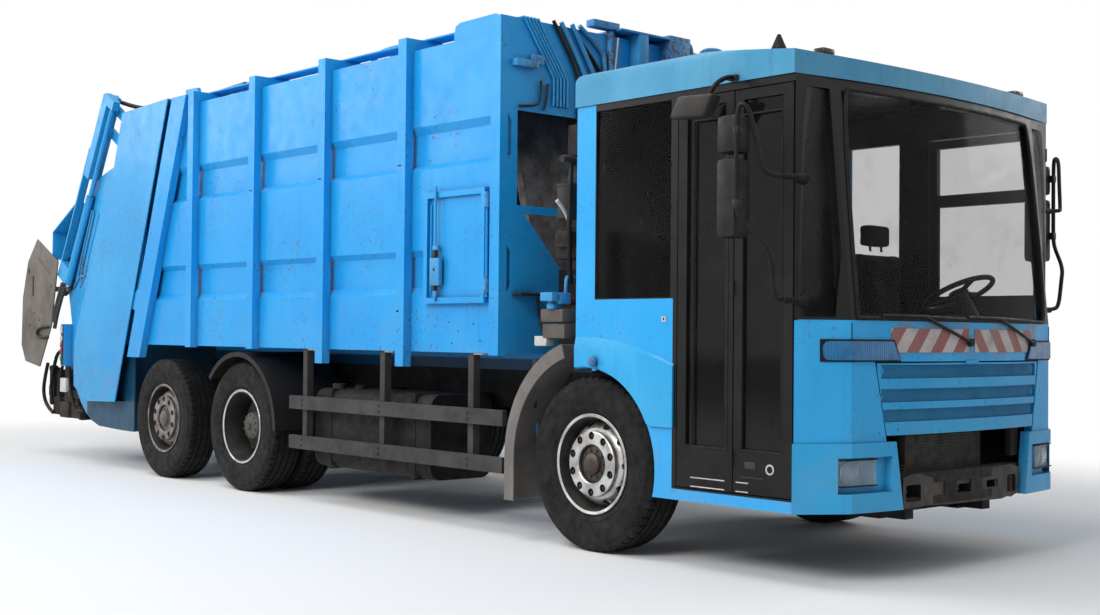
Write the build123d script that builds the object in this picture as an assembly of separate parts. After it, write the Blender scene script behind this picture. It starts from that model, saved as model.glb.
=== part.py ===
from build123d import *
import math
import os

# Three-axle rear-loading refuse truck with a low-entry cab.
# Millimetres. X forward, Y left, Z up. Lengths are measured from the front axle
# while modelling, and every piece is moved by FRONT_AXLE_X when it is written,
# so that the origin lies under the middle of the truck, on the ground.
FRONT_AXLE_X = 3340.5

# Running gear
DRIVE_AXLE_X = -4100
TRAIL_AXLE_X = -5450
TYRE_R = 520
TYRE_HALF_W = 146
BEAD_R = 288
RIM_EDGE_Y = 131
RIM_EDGE_R = 298
WHEEL_Z = TYRE_R
WHEEL_Y = 1067
TWIN_PITCH = 330
KINGPIN_Y = 880
KINGPIN_R = 25
SPINDLE_R = 40
DRUM_R = 205
NUT_CIRCLE_R = 167.5
NUT_COUNT = 10
HALF_NUT_PITCH_DEG = 180 / NUT_COUNT
HAND_HOLE_R = 24
RUN_GAP = 0.3

# Chassis
RAIL_OUT_Y = 425
RAIL_W = 80
RAIL_T = 8
RAIL_TOP_Z = 1030
RAIL_BOT_Z = 760
MID_RAIL_BOT_Z = 640
SPRING_Y = 385
RAIL_REAR_X = -5990
RAIL_FRONT_X = 1500
ENGINE_REAR_X = -720

# Load body
SIDE_Y = 1200
RIB_Y = 1265
WALL_T = 8
BODY_BOT_Z = 1160
FLOOR_T = 40
BODY_TOP_Z = 3230
RIB_H = 85
RIB_TOP_Z = BODY_TOP_Z + RIB_H
BODY_FRONT_X = -791
RIB_PITCH = 1014.5
RIB_W = 95
GROOVE_DEPTH = 36
SEAM_TOP = (-5240, 3300)
SEAM_BOT = (-6040, 1045)

# Cab
CAB_REAR_X = -90
CAB_SIDE_Y = 1245
CAB_WALL = 50
CAB_BOT_Z = 380
BELT_Z = 1370
CAB_HEAD_Z = 2640
CAB_ROOF_Z = 2840
SIDE_FRONT_X = 1550
CORNER_X = 1716
CORNER_Y = 985
NOSE_X = 1800
FAR_X = NOSE_X + 100
PANEL_BOT_Z = 740
RAKE = 133
GLASS_T = 8
FLAP_PIVOT = (1805, 1157)
FLAP_PIN_R = 5
FLAP_FACE = 2
FLAP_EDGE = 16
FLAP_BACK = 42
DOOR_REAR_X = 730
DOOR_BOT_Z = 450
DOOR_TOP_Z = 2600
DOOR_T = 40
DOOR_GAP = 6
DOOR_PIVOT = (1547, 1250)
DOOR_PIN_R = 7.3
ENTRY_PIVOT = (731, -1203)
ENTRY_PIN_R = 10
FOLD_PIVOT = (1141, -1249)
FOLD_PIN_R = 6.9
ENTRY_FLOOR_Z = 435
ARCH_R = 570

# Tailgate, in the plane of the truck's side
LIFT_PIVOT = (-5250, 3360)
SLIDE_DEG = 60
SLIDE_TRAVEL = 900
BLADE_LOW = (-6720, 1120)
BLADE_R = 690
INNER_WALL_Y = 1150
INNER_WALL_T = 12
COVER_T = 10
CYL_Y = 1202
PACK_CYL_Z = 1760
PACK_BARREL_L = 960
BARREL_R = 34
LUG_Y = 1240
LIFTER_PIVOT = (-7560, 1250)
LIFTER_EAR_Y = 1030
JOURNAL_R = 25

os.makedirs("parts", exist_ok=True)


def box(x0, x1, y0, y1, z0, z1):
    """A block between two corners."""
    return Pos(x0, y0, z0) * Box(x1 - x0, y1 - y0, z1 - z0, align=(Align.MIN, Align.MIN, Align.MIN))


def rod(axis, radius, start, end, centre):
    """A round bar along X, Y or Z from start to end; centre gives the other two coordinates."""
    length = end - start
    if axis == "x":
        place = Plane(origin=(start, centre[0], centre[1]), z_dir=(1, 0, 0))
    elif axis == "y":
        place = Plane(origin=(centre[0], start, centre[1]), z_dir=(0, 1, 0))
    else:
        place = Plane(origin=(centre[0], centre[1], start), z_dir=(0, 0, 1))
    return place * Cylinder(radius, length, align=(Align.CENTER, Align.CENTER, Align.MIN))


def bar(radius, a, b):
    """A round bar between two points."""
    start, end = Vector(*a), Vector(*b)
    place = Plane(origin=start, z_dir=end - start)
    return place * Cylinder(radius, (end - start).length, align=(Align.CENTER, Align.CENTER, Align.MIN))


def side_prism(points, y0, y1):
    """An outline of (x, z) points, extruded across the truck from y0 to y1."""
    outline = Polyline(*[(x, y0, z) for x, z in points], close=True)
    return extrude(make_face(outline), amount=y1 - y0, dir=(0, 1, 0))


def cross_prism(points, x0, x1):
    """An outline of (y, z) points, extruded along the truck from x0 to x1."""
    outline = Polyline(*[(x0, y, z) for y, z in points], close=True)
    return extrude(make_face(outline), amount=x1 - x0, dir=(1, 0, 0))


def other_side(shape):
    """The same piece on the truck's other side."""
    return mirror(shape, about=Plane.XZ)


def both_sides(shape):
    return [shape, other_side(shape)]


def ring(points, centre_x, centre_y, centre_z=WHEEL_Z):
    """A turned piece about an axle: points are (radius, distance outboard)."""
    outline = Polyline(*[(r, y, 0) for r, y in points], close=True)
    return Pos(centre_x, centre_y, centre_z) * revolve(make_face(outline), axis=Axis.Y)


def save(name, *shapes):
    """Write one node, moved so that the origin is under the truck's middle."""
    solids = []
    for shape in shapes:
        solids.extend(shape.solids())
    moved = [Pos(FRONT_AXLE_X, 0, 0) * solid for solid in solids]
    whole = moved[0] if len(moved) == 1 else Compound(children=moved)
    whole.label = name
    export_step(whole, f"parts/{name}.step")


def along(point, distance):
    """A point moved down the packer's slide by a distance."""
    angle = math.radians(SLIDE_DEG)
    return (point[0] - distance * math.cos(angle), point[1] - distance * math.sin(angle))


def beside(point, distance):
    """A point moved square to the packer's slide, rearwards and up."""
    angle = math.radians(SLIDE_DEG)
    return (point[0] - distance * math.sin(angle), point[1] + distance * math.cos(angle))


# Wheels

# radius, distance from the tyre's middle
TYRE_HALF = [(BEAD_R + RUN_GAP, 118), (302, 120), (332, 138), (400, TYRE_HALF_W), (468, 142), (504, 127),
             (TYRE_R, 92)]


def tyre(x, y):
    outer = [(r, w) for r, w in TYRE_HALF] + [(r, -w) for r, w in reversed(TYRE_HALF)]
    return ring(outer, x, y)


def rim(x, y, outward, mount_w):
    """A steel wheel: barrel, disc with hand holes; outward is +1 where its disc bulges outboard."""
    t = 12
    barrel = [(BEAD_R, RIM_EDGE_Y - 9), (RIM_EDGE_R, RIM_EDGE_Y - 9), (RIM_EDGE_R, RIM_EDGE_Y),
              (BEAD_R - t, RIM_EDGE_Y),
              (BEAD_R - t, -RIM_EDGE_Y), (RIM_EDGE_R, -RIM_EDGE_Y), (RIM_EDGE_R, -RIM_EDGE_Y + 9),
              (BEAD_R, -RIM_EDGE_Y + 9)]
    foot_w = mount_w - outward * 78
    disc = [(100, mount_w), (196, mount_w), (224, mount_w - outward * 16), (BEAD_R - t, foot_w),
            (BEAD_R - t, foot_w - outward * 14), (222, mount_w - outward * 30), (194, mount_w - outward * t),
            (100, mount_w - outward * t)]
    body = ring(barrel, x, y) + ring(disc, x, y)
    mid_r = 244
    mid_w = mount_w - outward * 38
    for i in range(NUT_COUNT):
        angle = 2 * math.pi * (i + 0.5) / NUT_COUNT
        centre = (x + mid_r * math.cos(angle), WHEEL_Z + mid_r * math.sin(angle))
        body -= rod("y", HAND_HOLE_R, y + mid_w - 45, y + mid_w + 45, centre)
    return body


def single_wheel(side, axle_x, name):
    """A front or trailing wheel, with its hub and drum, built on the left and mirrored for the right."""
    mount_w = 96
    wheel = rim(axle_x, WHEEL_Y, 1, mount_w)
    hub = ring([(0, 128), (92, 128), (112, 112), (112, mount_w + 1), (112, mount_w - 12), (190, mount_w - 12),
                (190, mount_w - 26), (110, mount_w - 26), (100, -60), (DRUM_R, -60), (DRUM_R, -108),
                (SPINDLE_R + RUN_GAP, -108), (SPINDLE_R + RUN_GAP, 60), (0, 60)], axle_x, WHEEL_Y)
    wheel += hub
    for i in range(NUT_COUNT):
        angle = 2 * math.pi * i / NUT_COUNT
        centre = (axle_x + NUT_CIRCLE_R * math.cos(angle), WHEEL_Z + NUT_CIRCLE_R * math.sin(angle))
        wheel += rod("y", 16, WHEEL_Y + mount_w - 4, WHEEL_Y + mount_w + 26, centre)
    shoe = tyre(axle_x, WHEEL_Y)
    if side == "right":
        turned = wheel.rotate(Axis((axle_x, 0, WHEEL_Z), (0, 1, 0)), HALF_NUT_PITCH_DEG)
        wheel, shoe = other_side(turned), other_side(shoe)
    save(f"rim_{name}_{side}", wheel)
    save(f"tyre_{name}_{side}", shoe)


def twin_wheels(side):
    """The drive axle's two wheels on one hub."""
    outer_mount = -TWIN_PITCH / 2 + 12
    inner_y = WHEEL_Y - TWIN_PITCH
    wheels = rim(DRIVE_AXLE_X, WHEEL_Y, -1, outer_mount) + rim(DRIVE_AXLE_X, inner_y, 1, TWIN_PITCH / 2)
    bore = SPINDLE_R + 25 + RUN_GAP
    hub = ring([(0, 70), (70, 70), (112, 40), (118, outer_mount), (190, outer_mount), (190, outer_mount - 24),
                (150, outer_mount - 24), (150, -420), (DRUM_R, -420), (DRUM_R, -470), (bore, -470),
                (bore, -10),
                (0, -10)], DRIVE_AXLE_X, WHEEL_Y)
    wheels += hub
    for i in range(NUT_COUNT):
        angle = 2 * math.pi * i / NUT_COUNT
        centre = (DRIVE_AXLE_X + NUT_CIRCLE_R * math.cos(angle), WHEEL_Z + NUT_CIRCLE_R * math.sin(angle))
        wheels += rod("y", 16, WHEEL_Y + outer_mount - 4, WHEEL_Y + outer_mount + 30, centre)
    shoes = [tyre(DRIVE_AXLE_X, WHEEL_Y), tyre(DRIVE_AXLE_X, inner_y)]
    if side == "right":
        wheels = other_side(wheels)
        shoes = [other_side(shoe) for shoe in shoes]
    save(f"rims_drive_{side}", wheels)
    save(f"tyres_drive_{side}", *shoes)


def knuckle(side, axle_x, name):
    """A steering knuckle: two ears on a kingpin, and the spindle that carries the hub."""
    back = 62
    ear = 100
    boss = 65
    body = box(axle_x - 55, axle_x + 55, KINGPIN_Y + back, WHEEL_Y - 118, WHEEL_Z - ear, WHEEL_Z + ear)
    for low, high in ((boss, ear), (-ear, -boss)):
        body += box(axle_x - 40, axle_x + 40, KINGPIN_Y, KINGPIN_Y + back, WHEEL_Z + low, WHEEL_Z + high)
        body += rod("z", 40, WHEEL_Z + low, WHEEL_Z + high, (axle_x, KINGPIN_Y))
    body += rod("z", KINGPIN_R, WHEEL_Z - ear, WHEEL_Z + ear, (axle_x, KINGPIN_Y))
    body += rod("y", SPINDLE_R, KINGPIN_Y + back, WHEEL_Y + 50, (axle_x, WHEEL_Z))
    save(f"knuckle_{name}_{side}", body if side == "left" else other_side(body))


def leaf_spring(axle_x, y, seat_z):
    """A leaf pack from the axle's seat up to its two hangers under the rail."""
    hanger_z = MID_RAIL_BOT_Z
    half = [(0, seat_z - 2), (60, seat_z - 2), (470, hanger_z - 40), (530, hanger_z - 40), (530, hanger_z),
            (460, hanger_z), (60, seat_z + 55), (0, seat_z + 55)]
    outline = half + [(-x, z) for x, z in reversed(half[1:-1])]
    return side_prism([(axle_x + x, z) for x, z in outline], y - 38, y + 38)


def air_spring(axle_x, y, seat_z):
    """A bellows between the axle and the rail."""
    bag = rod("z", 32, seat_z - 5, RAIL_BOT_Z, (axle_x, y))
    return bag + rod("z", 38, seat_z + 25, RAIL_BOT_Z - 20, (axle_x, y))


def steered_axle(axle_x, drop, name):
    """A dropped forged beam with a kingpin boss at each end and its springs' seats."""
    low = WHEEL_Z - drop
    half = [(0, low - 55), (600, low - 55), (KINGPIN_Y - 40, WHEEL_Z - 58), (KINGPIN_Y - 40, WHEEL_Z + 58),
            (KINGPIN_Y - 120, WHEEL_Z + 58), (560, low + 55), (0, low + 55)]
    whole = [(y, z) for y, z in half] + [(-y, z) for y, z in reversed(half[1:-1])]
    beam = cross_prism(whole, axle_x - 50, axle_x + 50)
    seat_z = low + 55
    for side in (1, -1):
        beam += rod("z", 54, WHEEL_Z - 60, WHEEL_Z + 60, (axle_x, side * KINGPIN_Y))
        beam -= rod("z", KINGPIN_R + RUN_GAP, WHEEL_Z - 80, WHEEL_Z + 80, (axle_x, side * KINGPIN_Y))
        beam += leaf_spring(axle_x, side * SPRING_Y, seat_z) if drop else air_spring(axle_x,
                                                                                     side * SPRING_Y, seat_z)
    save(name, beam)


def drive_axle():
    """A banjo housing with its final drive, and the shaft that turns it."""
    tube_r = SPINDLE_R + 25
    body = rod("y", tube_r, -(WHEEL_Y - 30), WHEEL_Y - 30, (DRIVE_AXLE_X, WHEEL_Z))
    body += ring([(0, 110), (150, 110), (210, 45), (210, -45), (150, -110), (0, -110)], DRIVE_AXLE_X, 0)
    nose = (DRIVE_AXLE_X + 360, 0, WHEEL_Z + 40)
    body += bar(85, (DRIVE_AXLE_X, 0, WHEEL_Z + 20), nose)
    body += bar(42, nose, (ENGINE_REAR_X - 5, 0, 800))
    for side in (1, -1):
        body += air_spring(DRIVE_AXLE_X, side * SPRING_Y, WHEEL_Z + 60)
    save("drive_axle", body)


def rail_outline():
    """The cranked side rail: high at the rear, low under the entry floor."""
    return [(RAIL_REAR_X, RAIL_BOT_Z), (-820, RAIL_BOT_Z), (-640, MID_RAIL_BOT_Z), (560, MID_RAIL_BOT_Z),
            (700, 290), (RAIL_FRONT_X, 290), (RAIL_FRONT_X, 394), (760, 394), (600, 830), (-560, 830),
            (-740, RAIL_TOP_Z), (RAIL_REAR_X, RAIL_TOP_Z)]


def bumper_beam():
    """The bare pressed beam behind the missing middle of the bumper, with its openings."""
    beam = lower_form(40) - lower_form(120)
    beam &= box(1500, 1900, -606, 606, 385, 560)
    for y in (-480, -260, 0, 260, 480):
        beam -= box(1500, 1900, y - 70, y + 70, 430, 500)
    for side in (1, -1):
        y0, y1 = sorted((side * 345, side * 425))
        beam += box(RAIL_FRONT_X - 1, 1660, y0, y1, 300, 390) + box(1630, 1662, y0, y1, 385, 432)
    return beam


def chassis_frame():
    """Two channel rails joined by tubular cross-members, with the brackets for tanks and guards."""
    outer = side_prism(rail_outline(), RAIL_OUT_Y - RAIL_W, RAIL_OUT_Y)
    face = make_face(Polyline(*[(x, RAIL_OUT_Y - RAIL_W, z) for x, z in rail_outline()], close=True))
    inner_face = offset(face, amount=-RAIL_T, kind=Kind.INTERSECTION)
    rail = outer - extrude(inner_face, amount=RAIL_W - RAIL_T, dir=(0, 1, 0))
    frame = rail + other_side(rail)
    reach = RAIL_OUT_Y - RAIL_T / 2
    # x, z, radius
    for x, z, r in ((-5900, 895, 55), (-4780, 895, 55), (-3300, 895, 50), (-2100, 920, 50), (-1000, 950, 45),
                    (1440, 342, 40), (850, 342, 40)):
        frame += rod("y", r, -reach, reach, (x, z))
    for side in (1, -1):
        for x in (-2950, -1900):
            inner, outer_y = sorted((side * (RAIL_OUT_Y - 2), side * 556))
            frame += box(x - 30, x + 30, inner, outer_y, 800, 860)
        inner, outer_y = sorted((side * (320 + RUN_GAP), side * (RAIL_OUT_Y - RAIL_W + 2)))
        for x in (-500, 200):
            frame += box(x, x + 80, inner, outer_y, 818, 830)
    frame += bumper_beam()
    save("chassis_frame", frame)


def engine_block():
    save("engine_block", box(ENGINE_REAR_X, 420, -320, 320, 600, 1180))


def radiator():
    """Cooling unit behind the nose, with its core's frame and two mounting feet."""
    core = box(1540, 1610, -360, 400, 480, 1080)
    core += box(1515, 1540, -300, 340, 520, 1040)
    for y in (-385, 385):
        core += box(1560, 1600, y - 30, y + 30, 394, 482)
    save("radiator", core)


def side_tanks():
    """Fuel tank on the right, battery box and air tank on the left."""
    tank = fillet(box(-3150, -1700, -1100, -560, 270, 860).edges().filter_by(Axis.X), 90)
    for x in (-2950, -1900):
        tank += box(x - 25, x + 25, -1104, -556, 266, 864) - box(x - 26, x + 26, -1099, -561, 271, 859)
    tank += rod("z", 45, 855, 890, (-2800, -930))
    battery = box(-2300, -1700, 556, 1080, 320, 860)
    air = rod("x", 150, -3150, -2420, (720, 680))
    air += box(-2980, -2920, 556, 620, 700, 860)
    save("side_tanks", tank, battery, air)


def side_guards():
    parts = []
    for side in (1, -1):
        inner, outer = sorted((side * 1178, side * 1215))
        guard = box(-3345, -800, inner, outer, 700, 800) + box(-3345, -800, inner, outer, 400, 500)
        for x in (-3170, -2160, -1160):
            post_in, post_out = sorted((side * 1130, side * 1185))
            guard += box(x - 28, x + 28, post_in, post_out, 410, BODY_BOT_Z)
        parts.append(guard)
    save("side_guards", *parts)


def arc_band(centre_x, r0, r1, start_deg, end_deg, y0, y1):
    """Part of a ring about a wheel, seen from the side; degrees count from forward, upwards."""
    a0, a1 = math.radians(start_deg), math.radians(end_deg)
    mid = (a0 + a1) / 2

    def at(radius, angle):
        return (centre_x + radius * math.cos(angle), y0, WHEEL_Z + radius * math.sin(angle))

    outline = [ThreePointArc(at(r1, a0), at(r1, mid), at(r1, a1)), Line(at(r1, a1), at(r0, a1)),
               ThreePointArc(at(r0, a1), at(r0, mid), at(r0, a0)), Line(at(r0, a0), at(r1, a0))]
    return extrude(make_face(outline), amount=y1 - y0, dir=(0, 1, 0))


def mudguards():
    """Moulded grey guards behind the front wheels, black ones over the twin wheels."""
    parts = []
    front_out, front_in = 740, 652
    band = arc_band(0, front_out - 8, front_out, 107, 180, 890, CAB_SIDE_Y)
    band += arc_band(0, front_in, front_out, 107, 180, CAB_SIDE_Y - 10, CAB_SIDE_Y)
    band += box(-front_out, -front_out + 8, 890, CAB_SIDE_Y, 245, WHEEL_Z)
    band += box(-front_out, -front_in, CAB_SIDE_Y - 10, CAB_SIDE_Y, 245, WHEEL_Z)
    stay = math.radians(160)
    band += rod("y", 16, RAIL_OUT_Y, 900,
                ((front_out - 8) * math.cos(stay), WHEEL_Z + (front_out - 8) * math.sin(stay)))
    parts += both_sides(band)
    rear_r = 590
    guard = arc_band(DRIVE_AXLE_X, rear_r, rear_r + 10, 0, 140, 592, CAB_SIDE_Y)
    guard += arc_band(DRIVE_AXLE_X, rear_r - 28, rear_r + 10, 0, 140, CAB_SIDE_Y - 6, CAB_SIDE_Y)
    for deg in (40, 125):
        x = DRIVE_AXLE_X + (rear_r + 5) * math.cos(math.radians(deg))
        z = WHEEL_Z + (rear_r + 5) * math.sin(math.radians(deg))
        guard += rod("y", 14, RAIL_OUT_Y, 700, (x, z))
    parts += both_sides(guard)
    save("mudguards", *parts)


# Cab

def cab_outline(inset, z, rake):
    """The cab in plan, as a wire: flat sides, chamfered corners and a bowed front."""
    rear, side = CAB_REAR_X + inset, CAB_SIDE_Y - inset
    nose, corner_x, corner_y = NOSE_X - rake - inset, CORNER_X - rake - inset, CORNER_Y - inset * 0.6
    lines = [Line((rear, -side, z), (SIDE_FRONT_X, -side, z)),
             Line((SIDE_FRONT_X, -side, z), (corner_x, -corner_y, z)),
             ThreePointArc((corner_x, -corner_y, z), (nose, 0, z), (corner_x, corner_y, z)),
             Line((corner_x, corner_y, z), (SIDE_FRONT_X, side, z)),
             Line((SIDE_FRONT_X, side, z), (rear, side, z)),
             Line((rear, side, z), (rear, -side, z))]
    return make_face(lines)


def lower_form(inset):
    return extrude(cab_outline(inset, CAB_BOT_Z, 0), amount=BELT_Z - CAB_BOT_Z)


def upper_form(inset):
    return loft([cab_outline(inset, BELT_Z, 0), cab_outline(inset, CAB_HEAD_Z, RAKE)])


def window_boxes():
    """The glazed openings as blocks: (x0, x1, y0, y1, z0, z1)."""
    far = CAB_SIDE_Y + 100
    return [(1500, 1900, -930, 930, BELT_Z + 20, DOOR_TOP_Z - 20),
            (SIDE_FRONT_X + 12, 1668, -far, -1010, BELT_Z + 20, DOOR_TOP_Z - 20),
            (SIDE_FRONT_X + 12, 1668, 1010, far, BELT_Z + 20, DOOR_TOP_Z - 20),
            (76, 680, -far, -1100, 1500, DOOR_TOP_Z),
            (76, 500, 1100, far, 1560, DOOR_TOP_Z)]


def cab_body():
    """Side walls, rear wall, pillars and floor, with the wheel houses and the engine's tunnel."""
    upper = upper_form(0) - upper_form(CAB_WALL)
    lower = lower_form(0) - lower_form(CAB_WALL)
    far = CAB_SIDE_Y + 100
    lower -= box(SIDE_FRONT_X, 1900, -far, far, 0, BELT_Z + 1)
    shell = upper + lower
    for opening in window_boxes():
        shell -= box(*opening)
    for y0, y1 in ((-far, -1100), (1100, far)):
        shell -= box(DOOR_REAR_X, SIDE_FRONT_X, y0, y1, DOOR_BOT_Z, DOOR_TOP_Z)
    inner = CAB_SIDE_Y - CAB_WALL
    house_y = 570
    shell += box(690, SIDE_FRONT_X - 10, -inner, inner, ENTRY_FLOOR_Z - 40, ENTRY_FLOOR_Z)
    shell += box(655, 690, -inner, inner, 394, 1130)
    shell += box(CAB_REAR_X + CAB_WALL, 690, -inner, inner, 1100, 1130)
    for side in (1, -1):
        y0, y1 = sorted((side * house_y, side * (house_y - 30)))
        shell += box(CAB_REAR_X + CAB_WALL, 660, y0, y1, 830, 1105)
    shell += box(CAB_REAR_X + 1, 700, -370, 370, 1125, 1240)
    shell -= box(CAB_REAR_X - 10, 660, -345, 345, 0, 1210)
    for side in (1, -1):
        rail_y0, rail_y1 = sorted((side * (RAIL_OUT_Y - RAIL_W - 10), side * (RAIL_OUT_Y + 10)))
        shell -= box(640, 765, rail_y0, rail_y1, 0, 850)
    shell += box(690, 1480, 300, 1000, 850, 880) + box(1450, 1480, 300, 1000, ENTRY_FLOOR_Z, 850)
    for y0, y1 in ((-far, -house_y - 1), (house_y + 1, far)):
        shell -= rod("y", ARCH_R, y0, y1, (0, WHEEL_Z))
        shell -= box(CAB_REAR_X - 10, 0, y0, y1, 0, WHEEL_Z)
        shell -= box(CAB_REAR_X - 10, 655, y0, y1, 0, 300)
    shell -= box(CAB_REAR_X - 10, 655, -inner, inner, 0, 830)
    for z in (1420, 2400):
        shell += rod("z", DOOR_PIN_R, z, z + 80, DOOR_PIVOT)
    guide = (1500, -(CAB_SIDE_Y - 20))
    for centre in (ENTRY_PIVOT, guide):
        shell += rod("z", ENTRY_PIN_R, DOOR_TOP_Z - DOOR_GAP + RUN_GAP, DOOR_TOP_Z + 5, centre)
    shell += rod("z", ENTRY_PIN_R, DOOR_BOT_Z - 5, DOOR_BOT_Z + DOOR_GAP - RUN_GAP, ENTRY_PIVOT)
    save("cab_body", shell)


def cab_roof():
    """The moulded roof, sloping down at the front over the windscreen."""
    outline = cab_outline(-10, CAB_HEAD_Z, RAKE)
    block = extrude(outline, amount=CAB_ROOF_Z - CAB_HEAD_Z)
    far = CAB_SIDE_Y + 100
    block -= side_prism([(900, CAB_ROOF_Z), (1800, 2735), (1800, 2900), (900, 2900)], -far, far)
    block = fillet(block.faces().filter_by(Axis.Z).sort_by(Axis.Z)[-1].edges(), 55)
    hollow = extrude(cab_outline(40, CAB_HEAD_Z, RAKE), amount=CAB_ROOF_Z - CAB_HEAD_Z - 40)
    hollow -= side_prism([(880, CAB_ROOF_Z - 40), (1800, 2695), (1800, 2900), (880, 2900)], -far, far)
    save("cab_roof", block - hollow)


def cab_glass():
    """The fixed panes, each filling its opening."""
    skin = upper_form(14) - upper_form(14 + GLASS_T)
    panes = []
    for opening in window_boxes():
        panes.extend((skin & box(*opening)).solids())
    save("cab_glass", *panes)


def nose_panel():
    """Panel under the windscreen and the corner panels, open in the middle for the flap."""
    far = CAB_SIDE_Y + 100
    panel = lower_form(0) - lower_form(CAB_WALL)
    panel &= box(SIDE_FRONT_X, 1900, -far, far, PANEL_BOT_Z, BELT_Z)
    panel -= cross_prism([(-730, 739), (730, 739), (820, 1160), (-820, 1160)], 1500, 1900)
    for side in (1, -1):
        y0, y1 = sorted((side * 760, side * 840))
        panel += (lower_form(FLAP_EDGE + RUN_GAP) - lower_form(CAB_WALL)) & box(SIDE_FRONT_X, FAR_X, y0, y1,
                                                                                1000, 1040)
    save("nose_panel", panel)


def front_flap():
    """The grille flap: a bowed panel with three mesh bands between rounded bars, thin at its side edges."""
    outline = [(-728, 772), (728, 772), (796, 1100), (802, 1152), (-802, 1152), (-796, 1100)]
    middle = [(-690, 700), (690, 700), (770, 1200), (-770, 1200)]
    flap = lower_form(FLAP_FACE) - lower_form(FLAP_BACK)
    flap &= cross_prism(outline, SIDE_FRONT_X, FAR_X)
    flap -= lower_form(FLAP_EDGE) - cross_prism(middle, SIDE_FRONT_X - 50, FAR_X)
    for z0, z1 in ((1070, 1142), (946, 1016), (842, 908)):
        flap -= box(SIDE_FRONT_X, FAR_X, -770, 770, z0, z1) - lower_form(FLAP_EDGE - 2)
    x, z = FLAP_PIVOT
    flap += rod("y", FLAP_PIN_R, -60, 60, FLAP_PIVOT)
    flap += box(x - 20, x, -60, 60, z - 13, z - 4)
    save("front_flap", flap)


def bumper():
    """Bumper corners with the headlamp recesses."""
    far = CAB_SIDE_Y + 100
    shell = lower_form(-12) - lower_form(45)
    shell &= box(SIDE_FRONT_X, 1900, -far, far, CAB_BOT_Z, PANEL_BOT_Z)
    shell -= cross_prism([(-600, 300), (600, 300), (672, 760), (-672, 760)], 1500, 1900)
    parts = []
    for piece in shell.solids():
        side = 1 if piece.center().Y > 0 else -1
        y0, y1 = sorted((side * 700, side * 1054))
        piece -= box(1500, 1900, y0, y1, 480, 665) - lower_form(30)
        parts.append(piece)
    save("bumper_corners", *parts)


def front_lamps():
    """Headlamps, turn lamps and roof markers, each seated in its recess."""
    parts = []
    for side in (1, -1):
        y0, y1 = sorted((side * 795, side * 1040))
        parts.append((lower_form(6) - lower_form(29.7)) & box(1500, 1900, y0, y1, 520, 650))
        y0, y1 = sorted((side * 730, side * 1150))
        parts.append((lower_form(-24) - lower_form(-RUN_GAP)) & box(1500, 1900, y0, y1, 1165, 1270))
        y = side * 890
        slope_z = CAB_ROOF_Z - 105 * (1470 - 900) / 900 + RUN_GAP
        marker = [(1470, slope_z), (1550, slope_z - 80 * 105 / 900), (1540, slope_z + 18),
                  (1478, slope_z + 26)]
        parts.append(side_prism(marker, y - 45, y + 45))
    save("front_lamps", *parts)


def seats():
    """Driver's seat and the crew bench, as plain cushions on their bases."""
    driver = box(640, 1130, 430, 930, 1135, 1250) + box(600, 720, 430, 930, 1250, 1850)
    driver += box(720, 1040, 500, 860, 880, 1135)
    driver += box(620, 700, 540, 820, 1850, 2020)
    bench = box(0, 480, -1000, 250, 1240, 1400) + box(-38, 60, -1000, 250, 1400, 1950)
    save("seats", driver, bench)


def dashboard():
    """The dash across the bulkhead, the steering column and its wheel."""
    dash = upper_form(60) & box(1430, 1900, -1050, 1050, BELT_Z - 30, BELT_Z + 40)
    lower = lower_form(60) & box(1430, 1660, -700, 1120, 900, BELT_Z)
    dash = lower + dash
    dash -= box(1500, 1620, -420, 460, 0, 1100)
    hub = Plane(origin=(1278, 700, 1560), z_dir=(-0.45, 0, 0.89))
    dash += bar(45, (1470, 700, 1250), tuple(hub.origin))
    dash += hub * Torus(215, 16) + hub * Cylinder(60, 30)
    for i in range(3):
        dash += hub * Rot(0, 0, 120 * i + 90) * Pos(110, 0, 0) * Box(220, 34, 14)
    save("dashboard", dash)


def front_x(y, z):
    """The bowed front surface of the cab at a height."""
    radius = (CORNER_Y ** 2 + (NOSE_X - CORNER_X) ** 2) / (2 * (NOSE_X - CORNER_X))
    bow = radius - math.sqrt(radius ** 2 - y ** 2)
    lean = RAKE * max(0, z - BELT_Z) / (CAB_HEAD_Z - BELT_Z)
    return NOSE_X - bow - lean


def wipers():
    """Two arms and blades parked along the foot of the windscreen."""
    parts = []
    proud = 20
    for y in (-30, 700):
        pivot = (front_x(y, 1262) + proud, y, 1262)
        elbow = (front_x(y - 420, 1400) + proud, y - 420, 1400)
        arm = bar(9, pivot, elbow)
        arm += rod("x", 22, front_x(y, 1262) - 10, pivot[0] + 8, (y, 1262))
        blade_a = (front_x(y - 60, 1390) + proud, y - 60, 1390)
        blade_b = (front_x(y - 760, 1402) + proud, y - 760, 1402)
        arm += bar(8, blade_a, elbow) + bar(8, elbow, blade_b)
        arm -= lower_form(-RUN_GAP)
        parts.append(arm)
    save("wipers", *parts)


def mirror_set(s, base_x, base_y, carrier):
    """Tube arm with a main and a wide-angle mirror; its feet end on the carrier."""
    tube_r = 14
    elbow = (base_x - 17, s * 1400, 2105)
    low_elbow = (base_x - 17, s * 1390, 1500)
    foot = (1430, s * 1430, 1700)
    arm = bar(tube_r, (base_x, s * base_y, 2100), elbow) + bar(tube_r, elbow, (1400, s * 1455, 2110))
    arm += bar(tube_r, (base_x, s * base_y, 1470), low_elbow) + bar(tube_r, low_elbow, foot)
    arm -= carrier
    arm += bar(tube_r, foot, (1430, s * 1430, 2450))
    y0, y1 = sorted((s * 1425, s * 1570))
    head = fillet(box(1290, 1420, *sorted((s * 1425, s * 1575)), 1780, 2190).edges().filter_by(Axis.Y), 25)
    wide = fillet(box(1290, 1420, y0, y1, 2215, 2410).edges().filter_by(Axis.Y), 25)
    return arm + head + wide


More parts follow.
